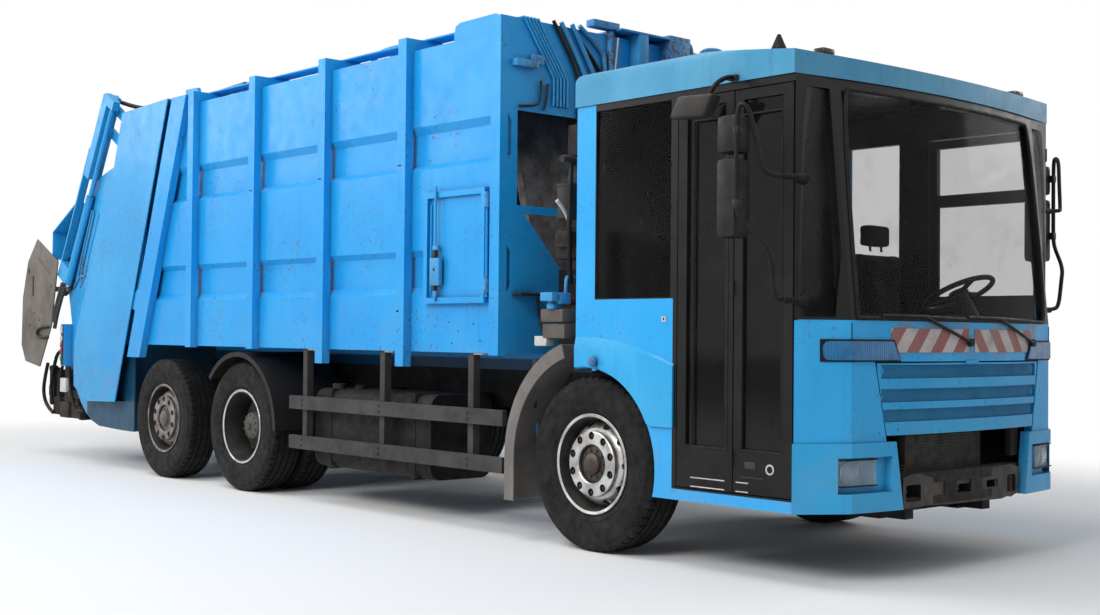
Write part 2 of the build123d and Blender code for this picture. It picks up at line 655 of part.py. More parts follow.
def mirrors():
    right = mirror_set(-1, 1567, 1190, upper_form(-RUN_GAP))
    kerb = fillet(box(900, 1150, -1470, -1330, 2440, 2570).edges().filter_by(Axis.X), 20)
    kerb += bar(12, (1140, -1340, 2540), (1150, -1275, 2660))
    kerb += box(1120, 1180, -1285, -1255.3, 2645, 2675)
    save("mirrors_right", right, kerb)
    door_outer_y = CAB_SIDE_Y - 2 + RUN_GAP
    save("mirrors_left", mirror_set(1, 1500, door_outer_y, box(1300, 1700, 1000, door_outer_y, 1400, 2200)))


def intake_stack():
    """The dark pointed pipe behind the cab, and the machinery between cab and body."""
    stack = rod("z", 55, 1350, 3330, (-310, 900))
    stack += Pos(-310, 900, 3330) * Cone(55, 12, 100, align=(Align.CENTER, Align.CENTER, Align.MIN))
    stack += box(-480, -200, 640, 1000, 1240, 1400) + box(-380, -320, 560, 645, 760, 1400)
    stack += box(-380, -320, RAIL_OUT_Y, 600, 760, 820)
    canister = rod("z", 130, 1700, 2300, (-420, -700))
    canister += box(-650, -200, -880, 320, 1180, 1700)
    save("cab_rear_equipment", stack, canister)


# Load body

def wall_profile(out_y, roof_z, depth, floor_z):
    """Half of the load body's section in (y, z): a wall with two pressed grooves, and the roof."""
    # share of the wall's height, whether the sheet is pressed in there
    steps = ((0.1884, 0), (0.2111, 1), (0.3135, 1), (0.3324, 0), (0.5981, 0), (0.614, 1), (0.7159, 1),
             (0.7415, 0))
    height = BODY_TOP_Z - BODY_BOT_Z
    wall = [(out_y - depth * pressed, BODY_BOT_Z + height * share) for share, pressed in steps]
    return [(out_y, floor_z)] + wall + [(out_y, roof_z)]


def full_section(half):
    return half + [(-y, z) for y, z in reversed(half)]


def seam_cutter(offset_x):
    """Everything behind the body's sloping rear end."""
    (x0, z0), (x1, z1) = SEAM_TOP, SEAM_BOT
    slope = (x1 - x0) / (z1 - z0)
    top, bottom = 3600, 900
    return side_prism([(x0 + slope * (top - z0) + offset_x, top),
                       (x0 + slope * (bottom - z0) + offset_x, bottom),
                       (-7500, bottom), (-7500, top)], -1400, 1400)


def body_shell():
    """Pressed side walls, roof and floor with its bearers, open at the rear and framed at the front."""
    outer = cross_prism(full_section(wall_profile(SIDE_Y, BODY_TOP_Z, GROOVE_DEPTH, BODY_BOT_Z)), -6200,
                        BODY_FRONT_X)
    inner = cross_prism(full_section(wall_profile(SIDE_Y - WALL_T, BODY_TOP_Z - WALL_T, GROOVE_DEPTH,
                                                  BODY_BOT_Z + FLOOR_T)), -6300, BODY_FRONT_X - WALL_T)
    shell = outer - inner
    shell -= seam_cutter(0)
    # Openings in the front frame
    shell -= box(BODY_FRONT_X - 20, BODY_FRONT_X + 20, -1120, 1120, 2110, 2720)
    shell -= cross_prism([(-1060, 2060), (-710, 1680), (710, 1680), (1060, 2060)], BODY_FRONT_X - 20,
                         BODY_FRONT_X + 20)
    # The right side's hatch
    shell -= box(-1590, -1000, -1260, -1100, 1514, 2202)
    for side in (1, -1):
        y0, y1 = sorted((side * (RAIL_OUT_Y - RAIL_W), side * RAIL_OUT_Y))
        shell += box(-5940, -810, y0, y1, RAIL_TOP_Z, BODY_BOT_Z + 5)
    save("body_shell", shell)


def body_ribs():
    """Hoops round the body, the sloping rear rails, and the lugs of the tailgate and its cylinders."""
    parts = []
    # x of the front edge, z of the legs' feet
    legs = ((-4, 1148), (-3, 1148), (-2, 1056), (-1, 1056), (0, 1148))
    for index, foot in legs:
        x1 = BODY_FRONT_X + index * RIB_PITCH
        bow_y = SIDE_Y - RUN_GAP
        parts.append(box(x1 - RIB_W, x1, -bow_y, bow_y, BODY_TOP_Z, RIB_TOP_Z))
        parts.append(box(x1 - RIB_W, x1, SIDE_Y, RIB_Y, foot, RIB_TOP_Z))
        parts.append(box(x1 - RIB_W, x1, -RIB_Y, -SIDE_Y, foot, RIB_TOP_Z))
    for side in (1, -1):
        y0, y1 = sorted((side * SIDE_Y, side * RIB_Y))
        rail = side_prism([SEAM_TOP, (-4985, 3300), (-5800, 1045), SEAM_BOT], y0, y1)
        lug_y0, lug_y1 = sorted((side * LUG_Y, side * (LUG_Y + 10)))
        rail += side_prism([(-5760, 1700), (-5990, 1600), (-5990, 1490), (-5760, 1400)], lug_y0, lug_y1)
        pin_y0, pin_y1 = sorted((side * 1180, side * LUG_Y))
        rail += rod("y", 18, pin_y0, pin_y1, (-5930, 1550))
        hinge_y0, hinge_y1 = sorted((side * 1080, side * 1110))
        parts.append(rail)
        lug = side_prism([(-5180, BODY_TOP_Z), (-5000, BODY_TOP_Z), (-5080, 3390), (-5290, 3395),
                          (-5290, 3325),
                          (-5200, 3310)], hinge_y0, hinge_y1)
        lug += rod("y", 22, *sorted((side * 1036, side * 1110)), LIFT_PIVOT)
        parts.append(lug)
    save("body_ribs", *parts)


def roof_pipes():
    """Hydraulic pipes along the roof's right edge and down the front frame."""
    parts = []
    pipe_r = 9
    z = RIB_TOP_Z + pipe_r + RUN_GAP
    drop_x = BODY_FRONT_X + pipe_r + RUN_GAP
    for i in range(5):
        y = -960 - 30 * i
        pipe = bar(pipe_r, (-4900, y, z), (drop_x, y, z)) + Pos(drop_x, y, z) * Sphere(pipe_r)
        pipe += bar(pipe_r, (drop_x, y, z), (drop_x, y + 260, 2960)) + Pos(drop_x, y + 260,
                                                                           2960) * Sphere(pipe_r)
        pipe += bar(pipe_r, (drop_x, y + 260, 2960), (drop_x, y + 260, 2780))
        parts.append(pipe)
    save("roof_pipes", *parts)


def side_hatch():
    """Framed inspection door on the body's right side."""
    x0, x1, z0, z1 = -1620, -970, 1484, 2232
    door = box(x0, x1, -SIDE_Y - 14, -SIDE_Y - RUN_GAP, z0, z1)
    frame = box(x0, x1, -SIDE_Y - 40, -SIDE_Y - 12, z0, z1) - box(x0 + 40, x1 - 40, -1300, -1100, z0 + 40,
                                                                  z1 - 40)
    door += frame
    door += rod("z", 11, 1520, 2190, (x1 + 4, -SIDE_Y - 22))
    door += rod("z", 8, 1560, 2150, (x0 + 60, -SIDE_Y - 20))
    save("side_hatch", door)


def ejector():
    """The push-out plate with its bracing, parked at the front of the load space."""
    y = SIDE_Y - GROOVE_DEPTH - WALL_T - 14
    z0, z1 = BODY_BOT_Z + FLOOR_T + RUN_GAP, BODY_TOP_Z - WALL_T - 12
    plate = box(-1500, -1470, -y, y, z0, z1)
    for side in (1, -1):
        y0, y1 = sorted((side * 700, side * 760))
        plate += side_prism([(-1472, z0), (-950, z0), (-950, z0 + 90), (-1400, z1 - 200),
                             (-1472, z1 - 200)], y0, y1)
    plate += box(-1000, -950, -760, 760, z0, z0 + 90)
    save("ejector", plate)


# Tailgate

COVER = [(-6205, 3275), (-5323, 3305), (-6285, 628), (-6883, 612), (-7183, 746), (-7186, 1157), (-7110, 1350),
         (-6500, 2400)]
GUIDE_TOP = (-6560, 3450)


def guide_x(z):
    """The sloping rear edge of the tailgate's inner walls."""
    return GUIDE_TOP[0] - (GUIDE_TOP[1] - z) / math.tan(math.radians(SLIDE_DEG))


def corner_posts():
    """Lamp housings at the rear corners and the lifter's bearing ears, left and right."""
    parts = []
    x, z = LIFTER_PIVOT
    for side in (1, -1):
        y0, y1 = sorted((side * (INNER_WALL_Y + 5), side * 1250))
        parts.append(box(-7530, -7470, y0, y1, 930, 1340))
        ear = side_prism([(-7490, z + 75), (-7490, z - 95), (x - 40, z - 50), (x - 40, z + 50)],
                         *sorted((side * LIFTER_EAR_Y, side * (LIFTER_EAR_Y + 30))))
        ear -= rod("y", JOURNAL_R + RUN_GAP, *sorted((side * (LIFTER_EAR_Y - 5),
                                                      side * (LIFTER_EAR_Y + 35))), (x, z))
        parts.append(ear)
    return parts


def trough_arc(radius, start_deg, end_deg):
    """Points of the hopper's round bottom about the blade's lowest hinge place."""
    count = 6
    points = []
    for i in range(count + 1):
        angle = math.radians(start_deg + (end_deg - start_deg) * i / count)
        points.append((BLADE_LOW[0] + radius * math.cos(angle), BLADE_LOW[1] + radius * math.sin(angle)))
    return points


def tailgate_hopper():
    """Inner side walls, and the trough that the blade sweeps."""
    skin_r = BLADE_R + 22
    wall = [(-5345, 3290), (-6200, 3262), (-6420, 2860), (guide_x(2720), 2720), (guide_x(1690), 1690),
            (-7475, 1330), (-7475, 900)]
    wall += trough_arc(skin_r + 40, 190, 262) + [(-6300, 360), (-6090, 360), (-6090, 1165)]
    body = None
    for side in (1, -1):
        y0, y1 = sorted((side * INNER_WALL_Y, side * (INNER_WALL_Y + INNER_WALL_T)))
        plate = side_prism(wall, y0, y1)
        pin_y0, pin_y1 = sorted((side * INNER_WALL_Y, side * 1179))
        plate += rod("y", 20, pin_y0, pin_y1, (-5800, 2910))
        body = plate if body is None else body + plate
    reach = INNER_WALL_Y + 2
    floor = [(-7475, 1330), (-7475, 1120)] + trough_arc(skin_r + 12, 185, 262)
    floor += [(-6540, 395), (-6500, 395), (-6120, 1165), (-6092, 1165), (-6092, 1142), (-6104, 1142),
              (-6485, 371)]
    floor += trough_arc(skin_r + 36, 262, 190)
    floor += [(-7500, 1120), (-7500, 1330)]
    body += side_prism(floor, -reach, reach)
    body += box(-6150, -6092, -reach, reach, 362, 440)
    for post in corner_posts():
        body += post
    body += box(-6180, -5380, -reach, reach, 3262, 3274)
    for side in (1, -1):
        y0, y1 = sorted((side * 1040, side * 1070))
        arm = side_prism([(-5400, 3262), (-5560, 3262), (-5300, 3400), (-5215, 3400), (-5215, 3330),
                          (-5290, 3322)],
                         y0, y1)
        arm -= rod("y", 22 + RUN_GAP, y0 - 5, y1 + 5, LIFT_PIVOT)
        body += arm
    save("tailgate_hopper", body)


def tailgate_covers():
    """The flat outer covers with their returned edges, open towards the body."""
    parts = []
    for side in (1, -1):
        y0, y1 = sorted((side * (RIB_Y - COVER_T), side * RIB_Y))
        cover = side_prism(COVER, y0, y1)
        edge_y0, edge_y1 = sorted((side * (INNER_WALL_Y + INNER_WALL_T), side * (RIB_Y - 1)))
        full = side_prism(COVER, edge_y0, edge_y1)
        core = side_prism([(-6200, 3263), (-5200, 3297), (-5200, 640), (-6880, 624), (-7171, 754),
                           (-7174, 1153),
                           (-7099, 1344), (-6488, 2396)], edge_y0 - 1, edge_y1 + 1)
        cover += full - core
        parts.append(cover)
    save("tailgate_covers", *parts)


def packer_guides():
    """Guide strips behind the carriage's arms, the lower rear hood, and the packer cylinders' barrels."""
    parts = []
    for side in (1, -1):
        y0, y1 = sorted((side * (INNER_WALL_Y + INNER_WALL_T), side * 1235))
        low, high = (guide_x(1750), 1750), (guide_x(2950), 2950)
        strip = side_prism([beside(low, 135), beside(high, 135), beside(high, 155), beside(low, 155)], y0, y1)
        foot_top = (guide_x(1900), 1900)
        strip += side_prism([beside(low, -60), beside(foot_top, -60), beside(foot_top, 155),
                             beside(low, 155)], y0, y1)
        axis_low = beside((guide_x(PACK_CYL_Z), PACK_CYL_Z), -55)
        axis_high = along(axis_low, -PACK_BARREL_L)
        start = (axis_low[0], side * CYL_Y, axis_low[1])
        end = (axis_high[0], side * CYL_Y, axis_high[1])
        strip += bar(38, start, end)
        bore_start = along(axis_low, -30)
        strip -= bar(24 + RUN_GAP, (bore_start[0], side * CYL_Y, bore_start[1]),
                     (along(axis_high, -10)[0], side * CYL_Y, along(axis_high, -10)[1]))
        parts.append(strip)
    hood = [(guide_x(2450), 2450), (guide_x(1900), 1900)]
    top, bottom = beside(hood[0], 145), beside(hood[1], 145)
    outline = [top, (-7812, 2260), (-7812, 1980), bottom, (bottom[0] - 20, bottom[1] + 14), (-7798, 1990),
               (-7798, 2254), (top[0] - 14, top[1] - 20)]
    whole = parts[0] + parts[1] + side_prism(outline, -1234, 1234)
    save("packer_guides", whole)


def packer_carriage():
    """The sliding plate with its outer arms and the packer cylinders' rods."""
    high = (BLADE_LOW[0] + SLIDE_TRAVEL * math.cos(math.radians(SLIDE_DEG)),
            BLADE_LOW[1] + SLIDE_TRAVEL * math.sin(math.radians(SLIDE_DEG)))
    plate_low = along(high, -120)
    plate_high = along(high, -1150)
    inner = INNER_WALL_Y - 12
    plate = side_prism([beside(plate_low, -50), beside(plate_high, -50), beside(plate_high, 30),
                        beside(plate_low, 30)], -inner, inner)
    body = plate
    for side in (1, -1):
        ear_y0, ear_y1 = sorted((side * 1080, side * 1110))
        ear = side_prism([beside(plate_low, -50), beside(plate_low, 30), beside(high, 45),
                          along(beside(high, 0), 50),
                          beside(high, -45)], ear_y0, ear_y1)
        ear += rod("y", 24, *sorted((side * 1040, side * 1110)), high)
        body += ear
        web_y0, web_y1 = sorted((side * 1100, side * inner))
        for start in (820, 1050):
            a, b = along(high, -start), along(high, -start - 80)
            far = guide_x(a[1]) - a[0]
            reach = abs(far) * math.sin(math.radians(SLIDE_DEG)) + 120
            body += side_prism([beside(a, 20), beside(b, 20), beside(b, reach), beside(a, reach)], web_y0,
                               web_y1)
        arm_y0, arm_y1 = sorted((side * 1172, side * 1238))
        low = (guide_x(2720), 2720)
        top = (guide_x(3450), 3450)
        arm = side_prism([beside(low, 15), beside(top, 15), beside(top, 125), beside(low, 125)], arm_y0,
                         arm_y1)
        cross_y0, cross_y1 = sorted((side * 1100, side * 1180))
        arm += side_prism([beside(low, 30), beside(top, 30), beside(top, 118), beside(low, 118)], cross_y0,
                          cross_y1)
        axis_top = along(beside((guide_x(PACK_CYL_Z), PACK_CYL_Z), -55), -PACK_BARREL_L - SLIDE_TRAVEL - 20)
        head = side_prism([beside(axis_top, -60), along(beside(axis_top, -60), -90),
                           along(beside(axis_top, 150), -90),
                           beside(axis_top, 150)], arm_y0, arm_y1)
        rod_low = along(beside((guide_x(PACK_CYL_Z), PACK_CYL_Z), -55), -60 - SLIDE_TRAVEL)
        arm += head
        arm += bar(24, (rod_low[0], side * CYL_Y, rod_low[1]),
                   (along(axis_top, -40)[0], side * CYL_Y, along(axis_top, -40)[1]))
        body += arm
    save("packer_carriage", body)


def packer_blade():
    """The curved sweeping blade hung from the carriage."""
    high = (BLADE_LOW[0] + SLIDE_TRAVEL * math.cos(math.radians(SLIDE_DEG)),
            BLADE_LOW[1] + SLIDE_TRAVEL * math.sin(math.radians(SLIDE_DEG)))
    tip = (high[0] + BLADE_R * 0.28, high[1] - BLADE_R * 0.96)
    inner = INNER_WALL_Y - 12
    blade = side_prism([(high[0] + 40, high[1] - 60), (tip[0] + 5, tip[1] + 40), tip,
                        (tip[0] - 40, tip[1] + 20),
                        (high[0] - 60, high[1] - 260), (high[0] - 45, high[1] - 60)], -inner, inner)
    for y in (-1060, 0, 1060):
        ear = rod("y", 45, y - 15, y + 15, high) + side_prism(
            [(high[0] - 45, high[1]), (high[0] + 45, high[1]), (high[0] + 40, high[1] - 70),
             (high[0] - 45, high[1] - 70)], y - 15, y + 15)
        if y:
            ear -= rod("y", 24 + RUN_GAP, y - 20, y + 20, high)
        blade += ear
    save("packer_blade", blade)


def lift_cylinders():
    """The two tailgate cylinders: barrel, and rod with its eye."""
    low, eye = (-5930, 1550), (-5800, 2910)
    direction = Vector(eye[0] - low[0], 0, eye[1] - low[1]).normalized()
    for side, name in ((1, "left"), (-1, "right")):
        y = side * CYL_Y
        start = Vector(low[0], y, low[1])
        end = Vector(eye[0], y, eye[1])
        barrel = bar(BARREL_R, tuple(start + direction * 30), tuple(start + direction * 1150))
        barrel += rod("y", BARREL_R, y - 20, y + 20, low)
        barrel -= rod("y", 18 + RUN_GAP, y - 60, y + 60, low)
        barrel -= bar(22 + RUN_GAP, tuple(start + direction * 80), tuple(start + direction * 1200))
        save(f"lift_barrel_{name}", barrel)
        shaft = bar(22, tuple(start + direction * 100), tuple(end - direction * 20))
        eye_y0, eye_y1 = y - 18, y + 18
        shaft += rod("y", 36, eye_y0, eye_y1, eye)
        shaft -= rod("y", 20 + RUN_GAP, eye_y0 - 5, eye_y1 + 5, eye)
        save(f"lift_rod_{name}", shaft)


def lifter_shields():
    """Steel side shields beside the bin lifter."""
    outline = [(-8145, 2200), (-7630, 1960), (-7770, 1320), (-8040, 910), (-8400, 960), (-8510, 1127),
               (-8495, 1610),
               (-8370, 1980)]
    parts = []
    for side in (1, -1):
        y0, y1 = sorted((side * 1242, side * 1254))
        shield = side_prism(outline, y0, y1)
        post_y0, post_y1 = sorted((side * (INNER_WALL_Y + INNER_WALL_T + RUN_GAP), side * 1242))
        shield += box(-7900, -7700, post_y0, post_y1, 1665, 1712)
        shield += box(-7750, -7490, *sorted((side * (INNER_WALL_Y + INNER_WALL_T + RUN_GAP), side * 1200)),
                      1665, 1712)
        parts.append(shield)
    save("lifter_shields", *parts)


def bin_lifter():
    """Tipping frame with its comb, arms and cross tube, hanging behind the hopper."""
    x, z = LIFTER_PIVOT
    frame = rod("y", 45, 10 - LIFTER_EAR_Y, LIFTER_EAR_Y - 10, LIFTER_PIVOT)
    frame += rod("y", JOURNAL_R, -LIFTER_EAR_Y - 30, LIFTER_EAR_Y + 30, LIFTER_PIVOT)
    for side in (1, -1):
        y0, y1 = sorted((side * 860, side * 920))
        frame += side_prism([(x + 30, z + 45), (x - 30, z + 45), (x - 100, z + 10), (x - 330, z - 60),
                             (x - 330, z - 860), (x - 230, z - 880), (x - 150, z - 120), (x + 30, z - 45)],
                            y0, y1)
    frame += box(x - 345, x - 325, -920, 920, z - 560, z - 40)
    frame += box(x - 330, x - 250, -900, 900, z - 880, z - 800)
    for i in range(12):
        y = -880 + 160 * i
        frame += box(x - 420, x - 330, y - 25, y + 25, z - 60, z + 10)
    save("bin_lifter", frame)


# Doors

def door_leaf(x0, x1, y0, y1, panes):
    """A framed leaf with openings (x0, x1, z0, z1) cut through it."""
    leaf = box(x0, x1, y0, y1, DOOR_BOT_Z + DOOR_GAP, DOOR_TOP_Z - DOOR_GAP)
    glass = []
    mid = (y0 + y1) / 2
    for px0, px1, pz0, pz1 in panes:
        leaf -= box(px0, px1, y0 - 1, y1 + 1, pz0, pz1)
        glass.append(box(px0, px1, mid - GLASS_T / 2, mid + GLASS_T / 2, pz0, pz1))
    return leaf, glass


def folding_door():
    outer = -(CAB_SIDE_Y - 2)
    inner = outer + DOOR_T
    split = 1141
    rear, rear_glass = door_leaf(DOOR_REAR_X + 4, split - 4, outer, inner, [(800, 1080, 690, 2540)])
    front, front_glass = door_leaf(split + 4, SIDE_FRONT_X - 12, outer, inner, [(1205, 1470, 690, 2540)])
    for z in (600, 1500, 2400):
        rear += rod("z", FOLD_PIN_R, z, z + 80, FOLD_PIVOT)
        rear += box(FOLD_PIVOT[0] - 13, FOLD_PIVOT[0], FOLD_PIVOT[1], outer + 1, z, z + 80)
    save("door_leaf_rear", rear)
    save("door_glass_rear", *rear_glass)
    save("door_leaf_front", front)
    save("door_glass_front", *front_glass)


def driver_door():
    outer = CAB_SIDE_Y - 2
    leaf, glass = door_leaf(DOOR_REAR_X + DOOR_GAP, SIDE_FRONT_X - DOOR_GAP, outer - DOOR_T, outer,
                            [(790, 1490, 1560, 2150), (790, 1490, 2230, 2540)])
    save("driver_door", leaf)
    save("driver_door_glass", *glass)


for wheel_side in ("left", "right"):
    single_wheel(wheel_side, 0, "front")
    twin_wheels(wheel_side)
    single_wheel(wheel_side, TRAIL_AXLE_X, "trailing")
    knuckle(wheel_side, 0, "front")
    knuckle(wheel_side, TRAIL_AXLE_X, "trailing")
steered_axle(0, 90, "front_axle")
steered_axle(TRAIL_AXLE_X, 0, "trailing_axle")
drive_axle()
chassis_frame()
engine_block()
radiator()
side_tanks()
side_guards()
mudguards()
cab_body()
cab_roof()
cab_glass()
nose_panel()
front_flap()
bumper()
front_lamps()
seats()
dashboard()
wipers()
mirrors()
intake_stack()
body_shell()
body_ribs()
roof_pipes()
side_hatch()
ejector()
tailgate_hopper()
tailgate_covers()
packer_guides()
packer_carriage()
packer_blade()
lift_cylinders()
lifter_shields()
bin_lifter()
folding_door()
driver_door()
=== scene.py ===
import math

import bmesh
import bpy
from mathutils import Matrix, Vector


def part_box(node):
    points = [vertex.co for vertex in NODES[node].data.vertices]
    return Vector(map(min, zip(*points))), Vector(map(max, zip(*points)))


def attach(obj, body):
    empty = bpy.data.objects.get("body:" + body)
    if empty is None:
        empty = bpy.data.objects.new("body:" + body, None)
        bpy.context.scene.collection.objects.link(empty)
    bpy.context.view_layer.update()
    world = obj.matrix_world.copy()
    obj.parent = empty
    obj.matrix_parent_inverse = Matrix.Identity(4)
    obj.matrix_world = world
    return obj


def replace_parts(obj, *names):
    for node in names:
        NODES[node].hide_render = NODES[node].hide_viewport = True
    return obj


# Metres. X forward, Y left, Z up, as in the CAD frame. Places along the truck are
# given from the front axle, whose own place comes from the frame.
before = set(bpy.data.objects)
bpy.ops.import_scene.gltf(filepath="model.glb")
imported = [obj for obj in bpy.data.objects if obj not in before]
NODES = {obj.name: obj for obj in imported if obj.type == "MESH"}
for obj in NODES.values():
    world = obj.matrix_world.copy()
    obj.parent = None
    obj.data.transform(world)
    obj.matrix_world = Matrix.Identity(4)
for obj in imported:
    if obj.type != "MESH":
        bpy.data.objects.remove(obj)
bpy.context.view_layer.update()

rim_low, rim_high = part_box("rim_front_left")
FRONT_AXLE_X = (rim_low[0] + rim_high[0]) / 2
WHEEL_Z = (rim_low[2] + rim_high[2]) / 2
DRIVE_AXLE_X = -4.1
TRAIL_AXLE_X = -5.45
WHEEL_Y = 1.067
TWIN_PITCH = 0.33
SIDES = (("left", 1), ("right", -1))

CAB_SIDE_Y = 1.245
BELT_Z = 1.37
CAB_HEAD_Z = 2.64
SIDE_FRONT_X = 1.55
NOSE_X = 1.8
CORNER_X = 1.716
CORNER_Y = 0.985
RAKE = 0.133
DOOR_REAR_X = 0.73
CAB_MIDDLE_X = 0.7
WINDOW_REAR_X = 0.07
WINDOW_SILL_Z = 1.492
# The cab's inner faces are painted black as shade nearer the middle and further back than these
CAB_SHADE_Y = 1.225
SHADED_INSIDE_X = 1.5


def place(x, y, z):
    """A point whose x is measured from the front axle."""
    return Vector((x + FRONT_AXLE_X, y, z))


def nose_x(y, z):
    """The bowed front surface of the cab, measured from the front axle."""
    radius = (CORNER_Y ** 2 + (NOSE_X - CORNER_X) ** 2) / (2 * (NOSE_X - CORNER_X))
    bow = radius - math.sqrt(max(radius ** 2 - y ** 2, 0))
    lean = RAKE * max(0.0, z - BELT_Z) / (CAB_HEAD_Z - BELT_Z)
    return NOSE_X - bow - lean


# Materials

def new_material(name):
    """A material with its shader and the graph that feeds it."""
    material = bpy.data.materials.new(name)
    material.use_nodes = True
    nodes = material.node_tree.nodes
    nodes.clear()
    output = nodes.new("ShaderNodeOutputMaterial")
    shader = nodes.new("ShaderNodeBsdfPrincipled")
    material.node_tree.links.new(shader.outputs["BSDF"], output.inputs["Surface"])
    return material, shader, Graph(material)


class Graph:
    """Short names for the node types that the materials use."""

    def __init__(self, material):
        self.tree = material.node_tree
        self.coords = self.tree.nodes.new("ShaderNodeTexCoord").outputs["Object"]

    def link(self, value, socket):
        if isinstance(value, bpy.types.NodeSocket):
            self.tree.links.new(value, socket)
        else:
            socket.default_value = value

    def stretched(self, scale):
        node = self.tree.nodes.new("ShaderNodeMapping")
        node.inputs["Scale"].default_value = scale
        self.link(self.coords, node.inputs["Vector"])
        return node.outputs["Vector"]

    def noise(self, scale, detail=4.0, rough=0.55, vector=None):
        node = self.tree.nodes.new("ShaderNodeTexNoise")
        node.inputs["Scale"].default_value = scale
        node.inputs["Detail"].default_value = detail
        node.inputs["Roughness"].default_value = rough
        self.link(self.coords if vector is None else vector, node.inputs["Vector"])
        return node.outputs["Fac"]

    def band(self, value, low, high, out_low=0.0, out_high=1.0):
        node = self.tree.nodes.new("ShaderNodeMapRange")
        node.interpolation_type = "SMOOTHSTEP"
        self.link(value, node.inputs["Value"])
        for name, number in (("From Min", low), ("From Max", high), ("To Min", out_low),
                ("To Max", out_high)):
            node.inputs[name].default_value = number
        return node.outputs["Result"]

    def math(self, operation, a, b=0.0):
        node = self.tree.nodes.new("ShaderNodeMath")
        node.operation = operation
        self.link(a, node.inputs[0])
        self.link(b, node.inputs[1])
        return node.outputs["Value"]

    def mix(self, factor, a, b):
        node = self.tree.nodes.new("ShaderNodeMix")
        node.data_type = "RGBA"
        self.link(factor, node.inputs["Factor"])
        self.link(a if isinstance(a, bpy.types.NodeSocket) else (*a, 1.0), node.inputs["A"])
        self.link(b if isinstance(b, bpy.types.NodeSocket) else (*b, 1.0), node.inputs["B"])
        return node.outputs["Result"]

    def times(self, a, b):
        return self.math("MULTIPLY", a, b)

    def most(self, a, b):
        return self.math("MAXIMUM", a, b)

    def under(self, value, limit):
        return self.math("LESS_THAN", value, limit)

    def over(self, value, limit):
        return self.math("GREATER_THAN", value, limit)

    def split(self, vector, name):
        node = self.tree.nodes.new("ShaderNodeSeparateXYZ")
        self.link(vector, node.inputs["Vector"])
        return node.outputs[name]

    def axis(self, name):
        return self.split(self.coords, name)

    def facing(self, name):
        return self.split(self.tree.nodes.new("ShaderNodeNewGeometry").outputs["Normal"], name)

    def from_middle(self):
        """Distance from the truck's middle plane."""
        return self.math("ABSOLUTE", self.axis("Y"))

    def crevice_shade(self, distance):
        # Painted shade: an ambient occlusion factor for darkening corners, creases and hollows.
        node = self.tree.nodes.new("ShaderNodeAmbientOcclusion")
        node.samples = 4
        node.inputs["Distance"].default_value = distance
        return self.band(node.outputs["AO"], 0.35, 0.95, 1.0, 0.0)

    def bump(self, height, strength, distance, shader):
        node = self.tree.nodes.new("ShaderNodeBump")
        node.inputs["Strength"].default_value = strength
        node.inputs["Distance"].default_value = distance
        self.link(height, node.inputs["Height"])
        self.link(node.outputs["Normal"], shader.inputs["Normal"])


DUST = (0.26, 0.24, 0.21)
# Colour of the painted shade laid into crevices
CREVICE_SHADE = (0.035, 0.03, 0.026)
RUST = (0.13, 0.05, 0.02)
# Black of the blackened pillars and frames, and painted shade on the cab's inner faces
BLACK_AND_SHADE = (0.006, 0.006, 0.0065)


def paint(name, base, faded, rough=0.32, low_z=0.45, high_z=1.5, dust=0.35, chips=0.62, streaks=0.5,
        coat=0.08, dark_inside=None):
    """Vehicle paint: faded in clouds, dusty towards the ground, streaked down, chipped in specks, its
    crevices darkened as painted shade.

    Cab panels are painted black as shade nearer the middle than dark_inside.
    """
    material, shader, g = new_material(name)
    colour = g.mix(g.band(g.noise(1.3, 6), 0.35, 0.7), base, faded)
    run = g.noise(3.0, 5, 0.6, g.stretched((6.0, 6.0, 0.35)))
    colour = g.mix(g.times(g.band(run, 0.52, 0.75), streaks * 0.35), colour, tuple(c * 0.45 for c in base))
    height = g.band(g.axis("Z"), low_z, high_z, 1.0, 0.0)
    settled = g.times(g.times(height, g.band(g.noise(5.0, 6), 0.3, 0.75)), dust)
    colour = g.mix(settled, colour, DUST)
    # Painted shade: crevices darkened towards a deep tone of the base colour.
    colour = g.mix(g.times(g.crevice_shade(0.05), 0.55), colour, tuple(0.01 + 0.2 * c for c in base))
    specks = g.times(g.band(g.noise(38.0, 3, 0.7), chips, chips + 0.04), g.band(g.noise(2.2, 3), 0.45, 0.65))
    colour = g.mix(g.times(specks, 0.8), colour, RUST)
    # Painted shade: the panels' faces inside the cab are painted black.
    if dark_inside:
        behind = g.under(g.axis("X"), FRONT_AXLE_X + SHADED_INSIDE_X)
        near = g.under(g.from_middle(), dark_inside)
        colour = g.mix(g.times(behind, near), colour, BLACK_AND_SHADE)
    g.link(colour, shader.inputs["Base Color"])
    cloudy = g.math("ADD", g.band(g.noise(9.0, 5), 0.3, 0.8, rough - 0.06, rough + 0.16),
        g.times(settled, 0.5))
    g.link(cloudy, shader.inputs["Roughness"])
    shader.inputs["Specular IOR Level"].default_value = 0.2
    shader.inputs["Coat Weight"].default_value = coat
    shader.inputs["Coat Roughness"].default_value = 0.12
    waves = g.math("ADD", g.times(g.noise(1.6, 3), 1.0), g.times(g.noise(60.0, 3), 0.05))
    g.bump(waves, 0.25, 0.012, shader)
    return material


